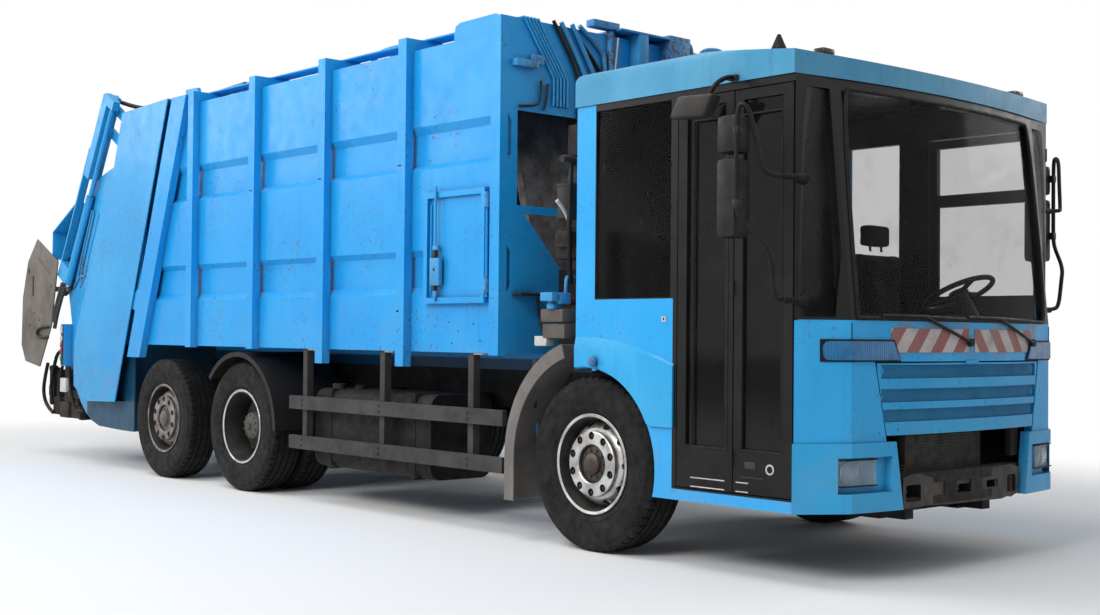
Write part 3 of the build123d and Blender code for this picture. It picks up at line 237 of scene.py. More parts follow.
def worn(name, base, other, rough=0.6, metallic=0.0, scale=6.0, dust=0.3, grain=90.0, grain_depth=0.0015,
        rust=0.0, crevice_shade=0.5):
    """Plastic, rubber or steel: two tones in clouds, dust on what faces up, painted shade in crevices, fine
    grain.
    """
    material, shader, g = new_material(name)
    colour = g.mix(g.band(g.noise(scale, 6), 0.35, 0.68), base, other)
    if rust:
        patches = g.times(g.band(g.noise(scale * 1.7, 8, 0.7), 0.5, 0.66), rust)
        colour = g.mix(patches, colour, RUST)
    settled = g.times(g.band(g.facing("Z"), 0.1, 0.95), g.band(g.noise(scale * 2.3, 5), 0.25, 0.7))
    colour = g.mix(g.times(settled, dust), colour, DUST)
    # Painted shade: crevices darkened towards a near-black brown.
    if crevice_shade:
        colour = g.mix(g.times(g.crevice_shade(0.03), crevice_shade), colour, CREVICE_SHADE)
    g.link(colour, shader.inputs["Base Color"])
    g.link(g.band(g.noise(scale * 3.0, 5), 0.25, 0.75, rough - 0.12, rough + 0.15),
        shader.inputs["Roughness"])
    shader.inputs["Metallic"].default_value = metallic
    shader.inputs["Specular IOR Level"].default_value = 0.5 if metallic else 0.2
    g.bump(g.noise(grain, 4, 0.6), 0.35, grain_depth, shader)
    return material


def tyre_rubber():
    material, shader, g = new_material("tyre_rubber_worn")
    colour = g.mix(g.band(g.noise(7.0, 6), 0.35, 0.7), (0.004, 0.0042, 0.0045), (0.0095, 0.0098, 0.01))
    ground = g.band(g.axis("Z"), 0.0, 0.5, 1.0, 0.35)
    dusty = g.times(ground, g.band(g.noise(13.0, 6, 0.65), 0.35, 0.7))
    colour = g.mix(g.times(dusty, 0.1), colour, (0.16, 0.145, 0.13))
    # Painted shade: the tyre's grooves and hollows darkened to near black.
    colour = g.mix(g.times(g.crevice_shade(0.02), 0.6), colour, (0.004, 0.004, 0.004))
    g.link(colour, shader.inputs["Base Color"])
    g.link(g.band(g.noise(20.0, 4), 0.3, 0.7, 0.62, 0.88), shader.inputs["Roughness"])
    shader.inputs["Specular IOR Level"].default_value = 0.2
    g.bump(g.noise(160.0, 3), 0.3, 0.001, shader)
    return material


def glass(name, tint, rough=0.03, alpha=0.45):
    """Dark window glass: a dark see-through sheet with a film of dirt."""
    material, shader, g = new_material(name)
    film = g.band(g.noise(3.5, 6, 0.6), 0.45, 0.85)
    g.link(g.mix(g.times(film, 0.2), tint, (0.05, 0.05, 0.05)), shader.inputs["Base Color"])
    g.link(g.band(g.noise(8.0, 5), 0.3, 0.8, rough, rough + 0.09), shader.inputs["Roughness"])
    g.link(g.band(film, 0.0, 1.0, alpha, alpha + 0.08), shader.inputs["Alpha"])
    shader.inputs["Specular IOR Level"].default_value = 0.25
    return material


def lens(name, tint, alpha, ribs=0.0):
    material, shader, g = new_material(name)
    g.link(g.mix(g.band(g.noise(14.0, 4), 0.4, 0.7), tint, tuple(c * 0.7 for c in tint)),
        shader.inputs["Base Color"])
    g.link(g.band(g.noise(22.0, 4), 0.3, 0.7, 0.05, 0.16), shader.inputs["Roughness"])
    shader.inputs["Alpha"].default_value = alpha
    if ribs:
        wave = g.tree.nodes.new("ShaderNodeTexWave")
        wave.inputs["Scale"].default_value = ribs
        wave.bands_direction = "Y"
        g.link(g.coords, wave.inputs["Vector"])
        g.bump(wave.outputs["Fac"], 0.5, 0.004, shader)
    return material


def chrome():
    material, shader, g = new_material("bright_metal")
    g.link(g.mix(g.band(g.noise(9.0, 5), 0.35, 0.7), (0.7, 0.7, 0.7), (0.5, 0.5, 0.5)),
        shader.inputs["Base Color"])
    g.link(g.band(g.noise(25.0, 4), 0.3, 0.7, 0.12, 0.3), shader.inputs["Roughness"])
    shader.inputs["Metallic"].default_value = 1.0
    return material


def hazard_strip():
    """Faded slanting red and white bars, leaning towards the middle on both sides."""
    material, shader, g = new_material("hazard_strip")
    across = g.from_middle()
    slant = g.math("ADD", across, g.times(g.axis("Z"), 0.8))
    phase = g.math("FRACT", g.times(slant, 1 / 0.2))
    red = g.band(g.math("ABSOLUTE", g.math("SUBTRACT", phase, 0.5)), 0.24, 0.26)
    colour = g.mix(red, (0.27, 0.075, 0.07), (0.48, 0.45, 0.44))
    grimy = g.band(g.noise(6.0, 7, 0.65), 0.42, 0.72)
    colour = g.mix(g.times(grimy, 0.65), colour, (0.2, 0.17, 0.15))
    g.link(colour, shader.inputs["Base Color"])
    g.link(g.band(g.noise(12.0, 5), 0.3, 0.8, 0.35, 0.7), shader.inputs["Roughness"])
    g.bump(g.noise(40.0, 4), 0.3, 0.001, shader)
    return material


def recolour(material, factor, colour):
    """Lay a plain colour over a material where the factor says."""
    g = Graph(material)
    shader = next(n for n in material.node_tree.nodes if n.type == "BSDF_PRINCIPLED")
    g.link(g.mix(factor, shader.inputs["Base Color"].links[0].from_socket, colour),
        shader.inputs["Base Color"])
    return material


def roof_paint():
    """Roof paint, with the faces that look into the cab painted black as shade."""
    material = paint("roof_blue", (0.05, 0.27, 0.46), (0.1, 0.35, 0.55), low_z=2.0, high_z=2.4, dust=0.1,
        streaks=0.8)
    g = Graph(material)
    # Painted shade: faces looking down or into the cab are painted black.
    down = g.under(g.facing("Z"), -0.3)
    from_middle = g.math("SUBTRACT", g.axis("X"), FRONT_AXLE_X + CAB_MIDDLE_X)
    lengthways = g.under(g.times(g.facing("X"), from_middle), -0.05)
    sideways = g.under(g.times(g.facing("Y"), g.axis("Y")), -0.05)
    return recolour(material, g.most(g.most(down, lengthways), sideways), BLACK_AND_SHADE)


def mudguard_plastic():
    """Grey-brown guards at the front wheels, black ones further back."""
    material = worn("mudguards", (0.15, 0.137, 0.128), (0.2, 0.184, 0.172), rough=0.5, dust=0.2, grain=250.0)
    g = Graph(material)
    return recolour(material, g.under(g.axis("X"), FRONT_AXLE_X - 2.0), (0.014, 0.013, 0.013))


SHADED_Y = 1.19


def shaded_below(material, rear_x, top_z):
    """Thick dark painted shade on what lies under the load space, ahead of rear_x."""
    g = Graph(material)
    ahead = g.over(g.axis("X"), FRONT_AXLE_X + rear_x)
    low = g.band(g.axis("Z"), top_z - 0.02, top_z, 1.0, 0.0)
    inner = g.under(g.from_middle(), SHADED_Y)
    # Painted shade: what lies under the load space is darkened to a deep teal.
    under = g.times(g.times(ahead, low), inner)
    return recolour(material, g.times(under, 0.85), (0.003, 0.016, 0.026))


def nose_paint():
    """Panel paint, scuffed grey in patches under the windscreen."""
    material = paint("cab_blue_nose", (0.024, 0.37, 0.76), (0.042, 0.42, 0.82), low_z=0.3, high_z=1.2,
        dust=0.2, dark_inside=CAB_SHADE_Y)
    g = Graph(material)
    high = g.band(g.axis("Z"), 1.15, 1.24)
    middle = g.band(g.from_middle(), 0.95, 0.7)
    patches = g.times(g.band(g.noise(4.5, 6, 0.6), 0.42, 0.62), g.times(high, middle))
    return recolour(material, g.times(patches, 0.75), (0.2, 0.2, 0.21))


def cab_paint_with_black():
    """Cab paint, with the blackened pillars and header round the windscreen and doors, and its inner faces
    painted black as shade.
    """
    material = paint("cab_blue", (0.022, 0.36, 0.78), (0.04, 0.4, 0.83), low_z=0.35, high_z=1.2, dust=0.2)
    g = Graph(material)
    x = g.axis("X")
    z = g.axis("Z")
    front = g.over(x, FRONT_AXLE_X + DOOR_REAR_X - 0.03)
    above = g.over(z, BELT_Z + 0.004)
    below_head = g.under(z, CAB_HEAD_Z + 0.01)
    ahead = g.over(x, FRONT_AXLE_X + SIDE_FRONT_X - 0.005)
    pillar = g.times(g.times(ahead, above), below_head)
    doorway = g.times(g.times(front, g.under(x, FRONT_AXLE_X + SIDE_FRONT_X + 0.01)),
        g.times(below_head, g.under(g.axis("Y"), 0.0)))
    black = g.most(pillar, g.times(doorway, g.over(z, 0.44)))
    # Painted shade: the cab's inner faces are painted black.
    inside = g.under(g.from_middle(), CAB_SHADE_Y)
    behind = g.under(x, FRONT_AXLE_X + SHADED_INSIDE_X)
    hidden = g.times(inside, g.times(behind, g.over(x, FRONT_AXLE_X - 0.085)))
    black = g.most(black, hidden)
    band = g.times(g.over(x, FRONT_AXLE_X + WINDOW_REAR_X), g.times(g.over(z, WINDOW_SILL_Z),
        g.under(g.axis("Y"), 0.0)))
    return recolour(material, g.most(black, band), BLACK_AND_SHADE)


MAT = {
    "cab": cab_paint_with_black(),
    "cab_plain": paint("cab_blue_panels", (0.022, 0.35, 0.7), (0.04, 0.4, 0.75), low_z=0.3, high_z=1.2,
        dust=0.2, dark_inside=CAB_SHADE_Y),
    "roof": roof_paint(),
    "nose": nose_paint(),
    "body": shaded_below(paint("body_blue", (0.01, 0.31, 0.73), (0.022, 0.35, 0.76), low_z=0.9,
        high_z=2.0, dust=0.15, chips=0.6), -7.1, 1.12),
    "gate": shaded_below(paint("gate_blue", (0.018, 0.31, 0.67), (0.034, 0.35, 0.71), low_z=0.4,
        high_z=1.6, dust=0.35, chips=0.58), -7.1, 1.17),
    "fittings": paint("fittings_blue", (0.035, 0.27, 0.56), (0.07, 0.36, 0.68), low_z=0.4, high_z=1.6,
        dust=0.2, chips=0.5, streaks=1.0, rough=0.45),
    "chassis": worn("chassis_black", (0.006, 0.006, 0.0065), (0.018, 0.016, 0.015), rough=0.62, dust=0.12,
        rust=0.1),
    "guards": worn("side_guard_grey", (0.035, 0.034, 0.033), (0.056, 0.054, 0.052), rough=0.6, dust=0.25,
        rust=0.1),
    "cast": worn("cast_dark", (0.015, 0.014, 0.013), (0.04, 0.035, 0.03), rough=0.7, dust=0.3, rust=0.4),
    "trim": worn("trim_black", (0.004, 0.004, 0.0045), (0.008, 0.008, 0.0085), rough=0.5, dust=0.06,
        grain=300.0),
    "seal": worn("seal_rubber", (0.004, 0.004, 0.004), (0.01, 0.01, 0.01), rough=0.6, dust=0.1),
    "guard": mudguard_plastic(),
    "tyre": tyre_rubber(),
    "wheel": worn("wheel_steel", (0.62, 0.62, 0.61), (0.35, 0.33, 0.31), rough=0.36, metallic=0.8,
        dust=0.05, rust=0.2, scale=9.0, crevice_shade=0.9),
    "wheel_dirty": worn("wheel_steel_dirty", (0.26, 0.24, 0.23), (0.07, 0.055, 0.045), rough=0.5,
        metallic=0.5, dust=0.1, rust=0.6, scale=9.0, crevice_shade=0.9),
    "barrel": worn("wheel_barrel", (0.012, 0.012, 0.012), (0.035, 0.03, 0.027), rough=0.6, metallic=0.3,
        dust=0.1),
    "drive_disc": worn("drive_disc", (0.05, 0.047, 0.044), (0.1, 0.092, 0.085), rough=0.55, metallic=0.3,
        rust=0.2),
    "hub_green": worn("hub_green", (0.06, 0.066, 0.058), (0.11, 0.112, 0.1), rough=0.5, dust=0.3,
        rust=0.25),
    "hub_dirty": worn("hub_dirty", (0.1, 0.09, 0.08), (0.2, 0.18, 0.16), rough=0.6, metallic=0.2,
        rust=0.6),
    "hub": worn("hub_brown", (0.03, 0.024, 0.02), (0.06, 0.045, 0.035), rough=0.45, metallic=0.3,
        rust=0.5, scale=12.0),
    "steel": worn("bare_steel", (0.25, 0.23, 0.21), (0.12, 0.105, 0.09), rough=0.45, metallic=0.7,
        rust=0.6, dust=0.2),
    "shield": worn("shield_steel", (0.16, 0.143, 0.128), (0.105, 0.088, 0.072), rough=0.55, metallic=0.35,
        rust=0.35, scale=3.0),
    "bumper_steel": worn("bumper_steel", (0.014, 0.014, 0.014), (0.04, 0.036, 0.03), rough=0.5,
        metallic=0.3, rust=0.5, scale=5.0, grain=30.0, grain_depth=0.006),
    "chrome": chrome(),
    "glass": glass("window_glass", (0.004, 0.004, 0.0045), alpha=0.16),
    "side_glass": glass("side_window_glass", (0.01, 0.01, 0.01), alpha=0.2),
    "door_glass": glass("door_glass", (0.006, 0.006, 0.0065), alpha=0.72),
    "lens_blue": lens("lens_blue", (0.002, 0.16, 0.4), 0.97, ribs=20.0),
    "lens_clear": lens("lens_clear", (0.5, 0.55, 0.58), 0.28, ribs=30.0),
    "lens_red": lens("lens_red", (0.42, 0.01, 0.008), 0.92, ribs=50.0),
    "lens_green": lens("lens_green", (0.02, 0.2, 0.06), 0.92, ribs=50.0),
    "lens_dark": lens("lens_marker", (0.05, 0.02, 0.012), 0.97),
    "hazard": hazard_strip(),
    "mesh": worn("mesh_blue", (0.045, 0.27, 0.5), (0.03, 0.2, 0.4), rough=0.5, dust=0.2, crevice_shade=0.0),
    "radiator": worn("radiator_fins", (0.02, 0.019, 0.018), (0.05, 0.047, 0.043), rough=0.6,
        metallic=0.5),
    "cloth": worn("seat_cloth", (0.008, 0.008, 0.01), (0.018, 0.018, 0.022), rough=0.9, grain=700.0,
        grain_depth=0.001, dust=0.1),
    "mirror_shell": worn("mirror_shell", (0.012, 0.012, 0.013), (0.022, 0.022, 0.024), rough=0.4,
        dust=0.2, grain=250.0),
    "kerb_shell": worn("kerb_shell", (0.035, 0.032, 0.03), (0.05, 0.046, 0.042), rough=0.5, dust=0.15,
        grain=250.0),
    "hose": worn("hose_rubber", (0.005, 0.005, 0.005), (0.016, 0.015, 0.014), rough=0.5, dust=0.2),
    "red": worn("valve_red", (0.4, 0.03, 0.02), (0.25, 0.03, 0.02), rough=0.5, dust=0.2),
    "white": worn("plain_white", (0.6, 0.6, 0.58), (0.42, 0.41, 0.39), rough=0.5, dust=0.2),
    "brown": worn("box_brown", (0.09, 0.08, 0.07), (0.14, 0.125, 0.11), rough=0.6, dust=0.25, rust=0.15),
}


# Material of each CAD node
NODE_FINISH = {
    "cab": ["cab_body"],
    "cab_plain": ["bumper_corners", "front_flap", "driver_door"],
    "nose": ["nose_panel"],
    "roof": ["cab_roof"],
    "body": ["body_shell", "body_ribs", "roof_pipes", "side_hatch"],
    "gate": ["tailgate_hopper", "tailgate_covers", "packer_guides", "packer_carriage", "lift_barrel_left",
        "lift_barrel_right"],
    "chassis": ["chassis_frame", "side_tanks", "front_axle", "drive_axle", "trailing_axle",
        "knuckle_front_left", "knuckle_front_right", "knuckle_trailing_left", "knuckle_trailing_right",
        "cab_rear_equipment", "bin_lifter"],
    "cast": ["engine_block"],
    "radiator": ["radiator"],
    "guard": ["mudguards"],
    "trim": ["door_leaf_rear", "door_leaf_front", "wipers", "mirrors_left", "mirrors_right", "dashboard"],
    "glass": ["cab_glass"],
    "side_glass": ["driver_door_glass"],
    "guards": ["side_guards"],
    "door_glass": ["door_glass_rear", "door_glass_front"],
    "wheel": ["rim_front_left", "rim_front_right", "rim_trailing_left", "rim_trailing_right",
        "rims_drive_left", "rims_drive_right"],
    "steel": ["ejector", "packer_blade"],
    "shield": ["lifter_shields"],
    "chrome": ["lift_rod_left", "lift_rod_right"],
    "cloth": ["seats"],
    "lens_clear": ["front_lamps"],
}
for finish_key, node_names in NODE_FINISH.items():
    for node_name in node_names:
        node_mesh = NODES[node_name].data
        node_mesh.materials.clear()
        node_mesh.materials.append(MAT[finish_key])


# Mesh helpers

SHARP_DEG = 35.0


def mesh_object(name, verts, faces, key, smooth_deg=SHARP_DEG):
    mesh = bpy.data.meshes.new(name)
    mesh.from_pydata([tuple(v) for v in verts], [], faces)
    mesh.validate()
    bm = bmesh.new()
    bm.from_mesh(mesh)
    bmesh.ops.recalc_face_normals(bm, faces=bm.faces)
    bm.to_mesh(mesh)
    bm.free()
    obj = bpy.data.objects.new(name, mesh)
    bpy.context.scene.collection.objects.link(obj)
    mesh.materials.append(MAT[key])
    for polygon in mesh.polygons:
        polygon.use_smooth = True
    mesh.set_sharp_from_angle(angle=math.radians(smooth_deg))
    return obj


def apply_modifiers(obj):
    """Fix what the modifiers show as the object's own mesh."""
    depsgraph = bpy.context.evaluated_depsgraph_get()
    mesh = bpy.data.meshes.new_from_object(obj.evaluated_get(depsgraph))
    obj.modifiers.clear()
    obj.data = mesh


class Builder:
    """Collects simple forms into one mesh piece."""

    def __init__(self):
        self.verts = []
        self.faces = []

    def add(self, verts, faces):
        base = len(self.verts)
        self.verts.extend(Vector(v) for v in verts)
        self.faces.extend([tuple(base + i for i in face) for face in faces])

    def add_bevelled(self, bm, cut, segments, profile):
        """The form in bm, all its edges cut by a chamfer where cut isn't nought."""
        if cut:
            bmesh.ops.bevel(bm, geom=bm.edges[:], offset=cut, segments=segments, affect="EDGES",
                profile=profile)
        bm.verts.index_update()
        self.add([v.co.copy() for v in bm.verts], [[v.index for v in f.verts] for f in bm.faces])
        bm.free()

    def block(self, low, high, cut=0.0):
        """A block between two corners (x from the front axle), its edges cut by a chamfer."""
        (x0, y0, z0), (x1, y1, z1) = low, high
        bm = bmesh.new()
        bmesh.ops.create_cube(bm, size=1.0)
        bmesh.ops.scale(bm, vec=(x1 - x0, y1 - y0, z1 - z0), verts=bm.verts)
        bmesh.ops.translate(bm, vec=place((x0 + x1) / 2, (y0 + y1) / 2, (z0 + z1) / 2), verts=bm.verts)
        self.add_bevelled(bm, cut, 2, 0.6)

    def rod(self, a, b, radius, sides=12, end_radius=None):
        """A round bar between two points (x from the front axle)."""
        a, b = place(*a), place(*b)
        axis = (b - a).normalized()
        side = axis.orthogonal().normalized()
        other = axis.cross(side)
        verts = []
        for centre, r in ((a, radius), (b, radius if end_radius is None else end_radius)):
            for i in range(sides):
                angle = 2 * math.pi * i / sides
                verts.append(centre + side * math.cos(angle) * r + other * math.sin(angle) * r)
        faces = [(i, (i + 1) % sides, sides + (i + 1) % sides, sides + i) for i in range(sides)]
        faces += [tuple(range(sides)), tuple(range(sides, 2 * sides))]
        self.add(verts, faces)

    def prism(self, outline, start, end, axis="y", cut=0.0):
        """An outline carried along an axis: (x, z) points for y, (y, z) points for x."""
        count = len(outline)
        verts = [place(a, end_at, z) if axis == "y" else place(end_at, a, z) for end_at in (start,
            end) for a, z in outline]
        faces = [(i, (i + 1) % count, count + (i + 1) % count, count + i) for i in range(count)]
        faces += [tuple(range(count)), tuple(range(count, 2 * count))]
        if not cut:
            self.add(verts, faces)
            return
        bm = bmesh.new()
        made = [bm.verts.new(v) for v in verts]
        for face in faces:
            bm.faces.new([made[i] for i in face])
        self.add_bevelled(bm, cut, 3, 0.5)

    def lathe(self, profile, centre, sides=48, axis="y", sign=1):
        """A closed profile of (radius, along) turned about an axis through a point."""
        cx, cy, cz = centre
        count = len(profile)
        verts = []
        for i in range(sides):
            angle = 2 * math.pi * i / sides
            for r, w in profile:
                u, v = r * math.cos(angle), r * math.sin(angle)
                if axis == "y":
                    verts.append(place(cx + u, cy + sign * w, cz + v))
                else:
                    verts.append(place(cx + sign * w, cy + u, cz + v))
        faces = []
        for i in range(sides):
            j = (i + 1) % sides
            for k in range(count):
                n = (k + 1) % count
                faces.append((i * count + k, i * count + n, j * count + n, j * count + k))
        self.add(verts, faces)

    def piece(self, name, body, key, slot, smooth_deg=SHARP_DEG):
        obj = mesh_object(name, self.verts, self.faces, key, smooth_deg)
        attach(obj, body)
        return obj

    def cut_by(self, cutter, name, body, key, slot):
        """A piece with the cutter's forms taken out of it."""
        obj = self.piece(name, body, key, slot)
        tool = mesh_object(name + "_cutter", cutter.verts, cutter.faces, key)
        modifier = obj.modifiers.new("cut", "BOOLEAN")
        modifier.object = tool
        modifier.solver = "EXACT"
        apply_modifiers(obj)
        bpy.data.objects.remove(tool)
        obj.data.set_sharp_from_angle(angle=math.radians(SHARP_DEG))
        return obj


def blocks(name, body, key, slot, edge, corners):
    """One piece of blocks, each given by its low and high corner."""
    build = Builder()
    for low, high in corners:
        build.block(low, high, edge)
    return build.piece(name, body, key, slot)


def pipe(name, points, radius, body, key):
    """A pipe or fixed hose along rounded runs (x from the front axle)."""
    curve = bpy.data.curves.new(name, "CURVE")
    curve.dimensions = "3D"
    spline = curve.splines.new("NURBS")
    spline.points.add(len(points) - 1)
    for point, (x, y, z) in zip(spline.points, points):
        point.co = (*place(x, y, z), 1.0)
    spline.order_u = 3
    spline.use_endpoint_u = True
    spline.resolution_u = 6
    curve.bevel_depth = radius
    curve.bevel_resolution = 3
    curve.use_fill_caps = True
    curve.materials.append(MAT[key])
    obj = bpy.data.objects.new(name, curve)
    bpy.context.scene.collection.objects.link(obj)
    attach(obj, body)
    return obj


# Tyres

# radius, distance from the tyre's middle
SIDEWALL = ((0.289, 0.117), (0.296, 0.1205), (0.306, 0.122), (0.33, 0.1375), (0.338, 0.1395),
    (0.342, 0.138), (0.37, 0.1435), (0.4, 0.1455), (0.43, 0.1458), (0.455, 0.1438), (0.463, 0.1445),
    (0.47, 0.141), (0.492, 0.1335), (0.503, 0.1275))
TREAD_EDGE = ((0.508, 0.124), (0.516, 0.117))
TYRE_R = 0.52
GROOVES = (-0.078, -0.03, 0.03, 0.078)
GROOVE_HALF = 0.0055
GROOVE_DEPTH = 0.012
PITCHES = 56


def tyre_profile():
    """(radius, width, whether a cross groove cuts there) from bead to bead."""
    half = [(r, w, 0.0) for r, w in SIDEWALL] + [(r, w, 1.0) for r, w in TREAD_EDGE]
    rows = [(r, -w, cut) for r, w, cut in half]
    for centre in GROOVES:
        shoulder = 1.0 if abs(centre) > 0.05 else 0.0
        bottom = TYRE_R - GROOVE_DEPTH
        outer_cut = shoulder if centre < 0 else 0.0
        inner_cut = shoulder if centre > 0 else 0.0
        rows += [(TYRE_R - 0.001, centre - GROOVE_HALF - 0.001, outer_cut),
            (bottom, centre - GROOVE_HALF, 0.0), (bottom, centre + GROOVE_HALF, 0.0), (TYRE_R - 0.001,
            centre + GROOVE_HALF + 0.001, inner_cut)]
    return rows + [(r, w, cut) for r, w, cut in reversed(half)]


def tyre(name, x, y_places, body, node):
    build = Builder()
    rows = tyre_profile()
    count = len(rows)
    stations = []
    for i in range(PITCHES):
        for share, depth in ((0.0, 0.0), (0.8, 0.0), (0.83, 1.0), (0.97, 1.0)):
            stations.append(((i + share) / PITCHES * 2 * math.pi, depth))
    for y in y_places:
        verts = []
        for angle, depth in stations:
            for r, w, cut in rows:
                radius = r - cut * depth * GROOVE_DEPTH * 0.75
                verts.append(place(x + radius * math.cos(angle), y + w, WHEEL_Z + radius * math.sin(angle)))
        faces = []
        total = len(stations)
        for i in range(total):
            j = (i + 1) % total
            for k in range(count - 1):
                faces.append((i * count + k, i * count + k + 1, j * count + k + 1, j * count + k))
            faces.append((i * count + count - 1, i * count, j * count, j * count + count - 1))
        build.add(verts, faces)
    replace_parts(build.piece(name, body, "tyre", "tyre_rubber", 28.0), node)


for side_name, side in SIDES:
    tyre(f"tyre_front_{side_name}_tread", 0.0, [side * WHEEL_Y], f"wheel_front_{side_name}",
        f"tyre_front_{side_name}")
    tyre(f"tyre_trailing_{side_name}_tread", TRAIL_AXLE_X, [side * WHEEL_Y],
        f"wheel_trailing_{side_name}", f"tyre_trailing_{side_name}")
    tyre(f"tyres_drive_{side_name}_tread", DRIVE_AXLE_X, [side * WHEEL_Y, side * (WHEEL_Y - TWIN_PITCH)],
        f"wheels_drive_{side_name}", f"tyres_drive_{side_name}")


# Wheels

NUT_CIRCLE_R = 0.1675
NUT_COUNT = 10
HAND_HOLE_CIRCLE_R = 0.244
# radius, distance outboard of the wheel's middle
BARREL = ((0.276, 0.128), (0.288, 0.122), (0.288, 0.117), (0.285, 0.06), (0.27, 0.03), (0.27, -0.06),
    (0.285, -0.09), (0.288, -0.117), (0.288, -0.122), (0.276, -0.128), (0.258, -0.06), (0.258, 0.03))
RIM_EDGE = ((0.281, 0.1275), (0.297, 0.131), (0.3, 0.128), (0.297, 0.121), (0.286, 0.119))
# radius, distance from the mounting face along the way the disc bulges
DISC = ((0.112, 0.0), (0.196, 0.0), (0.212, -0.006), (0.226, -0.018), (0.24, -0.036), (0.262, -0.062),
    (0.2755, -0.078), (0.2755, -0.09), (0.258, -0.074), (0.222, -0.032), (0.194, -0.012), (0.112, -0.012))
NUT_RING = ((0.114, -0.002), (0.114, 0.026), (0.12, 0.032), (0.189, 0.032), (0.196, 0.026), (0.196, -0.002))
FRONT_HUB = ((0.0, 0.052), (0.03, 0.05), (0.05, 0.044), (0.062, 0.032), (0.066, 0.012), (0.094, 0.01),
    (0.112, 0.004), (0.112, -0.014), (0.0, -0.014))
DRIVE_HUB = ((0.0, 0.07), (0.028, 0.07), (0.032, 0.06), (0.066, 0.058), (0.102, 0.042), (0.112, 0.026),
    (0.118, -0.12), (0.19, -0.138), (0.19, -0.165), (0.0, -0.165))
SINGLE_MOUNT_W = 0.096
TWIN_MOUNT_W = -0.153


class Wheel:
    """One steel wheel; every distance w is outboard of its middle."""

    def __init__(self, name, x, side, y, body, phase):
        self.name, self.x, self.side, self.y, self.body, self.phase = name, x, side, y, body, phase

    def ring(self, build, profile, sides=56):
        build.lathe(profile, (self.x, self.side * self.y, WHEEL_Z), sides, "y", self.side)

    def at(self, radius, i, w):
        angle = 2 * math.pi * i / NUT_COUNT + self.phase
        return (self.x + radius * math.cos(angle), self.side * (self.y + w),
            WHEEL_Z + radius * math.sin(angle))

    def studs(self, build, radius, i, w0, w1, size, sides):
        build.rod(self.at(radius, i, w0), self.at(radius, i, w1), size, sides)

    def barrel(self, key, edge_key):
        barrel, edge = Builder(), Builder()
        self.ring(barrel, BARREL)
        self.ring(barrel, [(0.0, -0.03), (0.2, -0.03), (0.205, -0.04), (0.205, -0.1), (0.0, -0.1)])
        self.ring(edge, RIM_EDGE)
        barrel.piece(f"{self.name}_barrel", self.body, key, "wheel_steel")
        edge.piece(f"{self.name}_edge", self.body, edge_key, "wheel_steel")

    def disc(self, mount_w, outward, key):
        disc, holes = Builder(), Builder()
        self.ring(disc, [(r, mount_w + outward * w) for r, w in DISC])
        for i in range(NUT_COUNT):
            self.studs(holes, HAND_HOLE_CIRCLE_R, i + 0.5, mount_w - 0.1, mount_w + 0.1, 0.028, 24)
        return disc.cut_by(holes, f"{self.name}_disc", self.body, key, "wheel_steel")

    def nuts(self, mount_w, key):
        nuts = Builder()
        for i in range(NUT_COUNT):
            self.studs(nuts, NUT_CIRCLE_R, i, mount_w - 0.004, mount_w + 0.02, 0.017, 6)
            self.studs(nuts, NUT_CIRCLE_R, i, mount_w + 0.02, mount_w + 0.029, 0.009, 10)
        nuts.piece(f"{self.name}_nuts", self.body, key, "wheel_steel")

    def nut_ring(self, mount_w, key):
        ring, holes = Builder(), Builder()
        self.ring(ring, [(r, mount_w + w) for r, w in NUT_RING])
        for i in range(NUT_COUNT):
            self.studs(holes, NUT_CIRCLE_R, i, mount_w + 0.003, mount_w + 0.06, 0.0235, 28)
        ring.cut_by(holes, f"{self.name}_nut_ring", self.body, key, "wheel_steel")

    def hub(self, profile, mount_w, bolt_circle, bolt_w, key):
        hub = Builder()
        self.ring(hub, [(r, mount_w + w) for r, w in profile], 48)
        for i in range(NUT_COUNT):
            self.studs(hub, bolt_circle, i + 0.5, mount_w + bolt_w - 0.003, mount_w + bolt_w + 0.008,
                0.009, 6)
        hub.piece(f"{self.name}_hub", self.body, key, "wheel_steel", 30.0)


def all_wheels():
    for side_name, side in SIDES:
        phase = 0.0 if side > 0 else math.pi / NUT_COUNT
        for axle, x, disc_key, hub_key in (("front", 0.0, "wheel", "hub"), ("trailing", TRAIL_AXLE_X,
                "wheel_dirty", "hub_dirty")):
            wheel = Wheel(f"wheel_{axle}_{side_name}", x, side, WHEEL_Y, f"wheel_{axle}_{side_name}", phase)
            wheel.barrel("barrel", disc_key)
            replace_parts(wheel.disc(SINGLE_MOUNT_W, 1, disc_key), f"rim_{axle}_{side_name}")
            wheel.nuts(SINGLE_MOUNT_W, "cast")
            wheel.nut_ring(SINGLE_MOUNT_W, disc_key)
            wheel.hub(FRONT_HUB, SINGLE_MOUNT_W, 0.081, 0.011, hub_key)
        body = f"wheels_drive_{side_name}"
        outer = Wheel(f"wheel_drive_outer_{side_name}", DRIVE_AXLE_X, side, WHEEL_Y, body, 0.0)
        outer.barrel("barrel", "wheel")
        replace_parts(outer.disc(TWIN_MOUNT_W, -1, "drive_disc"), f"rims_drive_{side_name}")
        outer.nuts(TWIN_MOUNT_W, "cast")
        outer.hub(DRIVE_HUB, 0.0, 0.085, 0.05, "hub_green")
        inner = Wheel(f"wheel_drive_inner_{side_name}", DRIVE_AXLE_X, side, WHEEL_Y - TWIN_PITCH, body, 0.0)
        inner.barrel("barrel", "barrel")
        inner.disc(TWIN_PITCH / 2, 1, "drive_disc")


all_wheels()


# Front of the cab

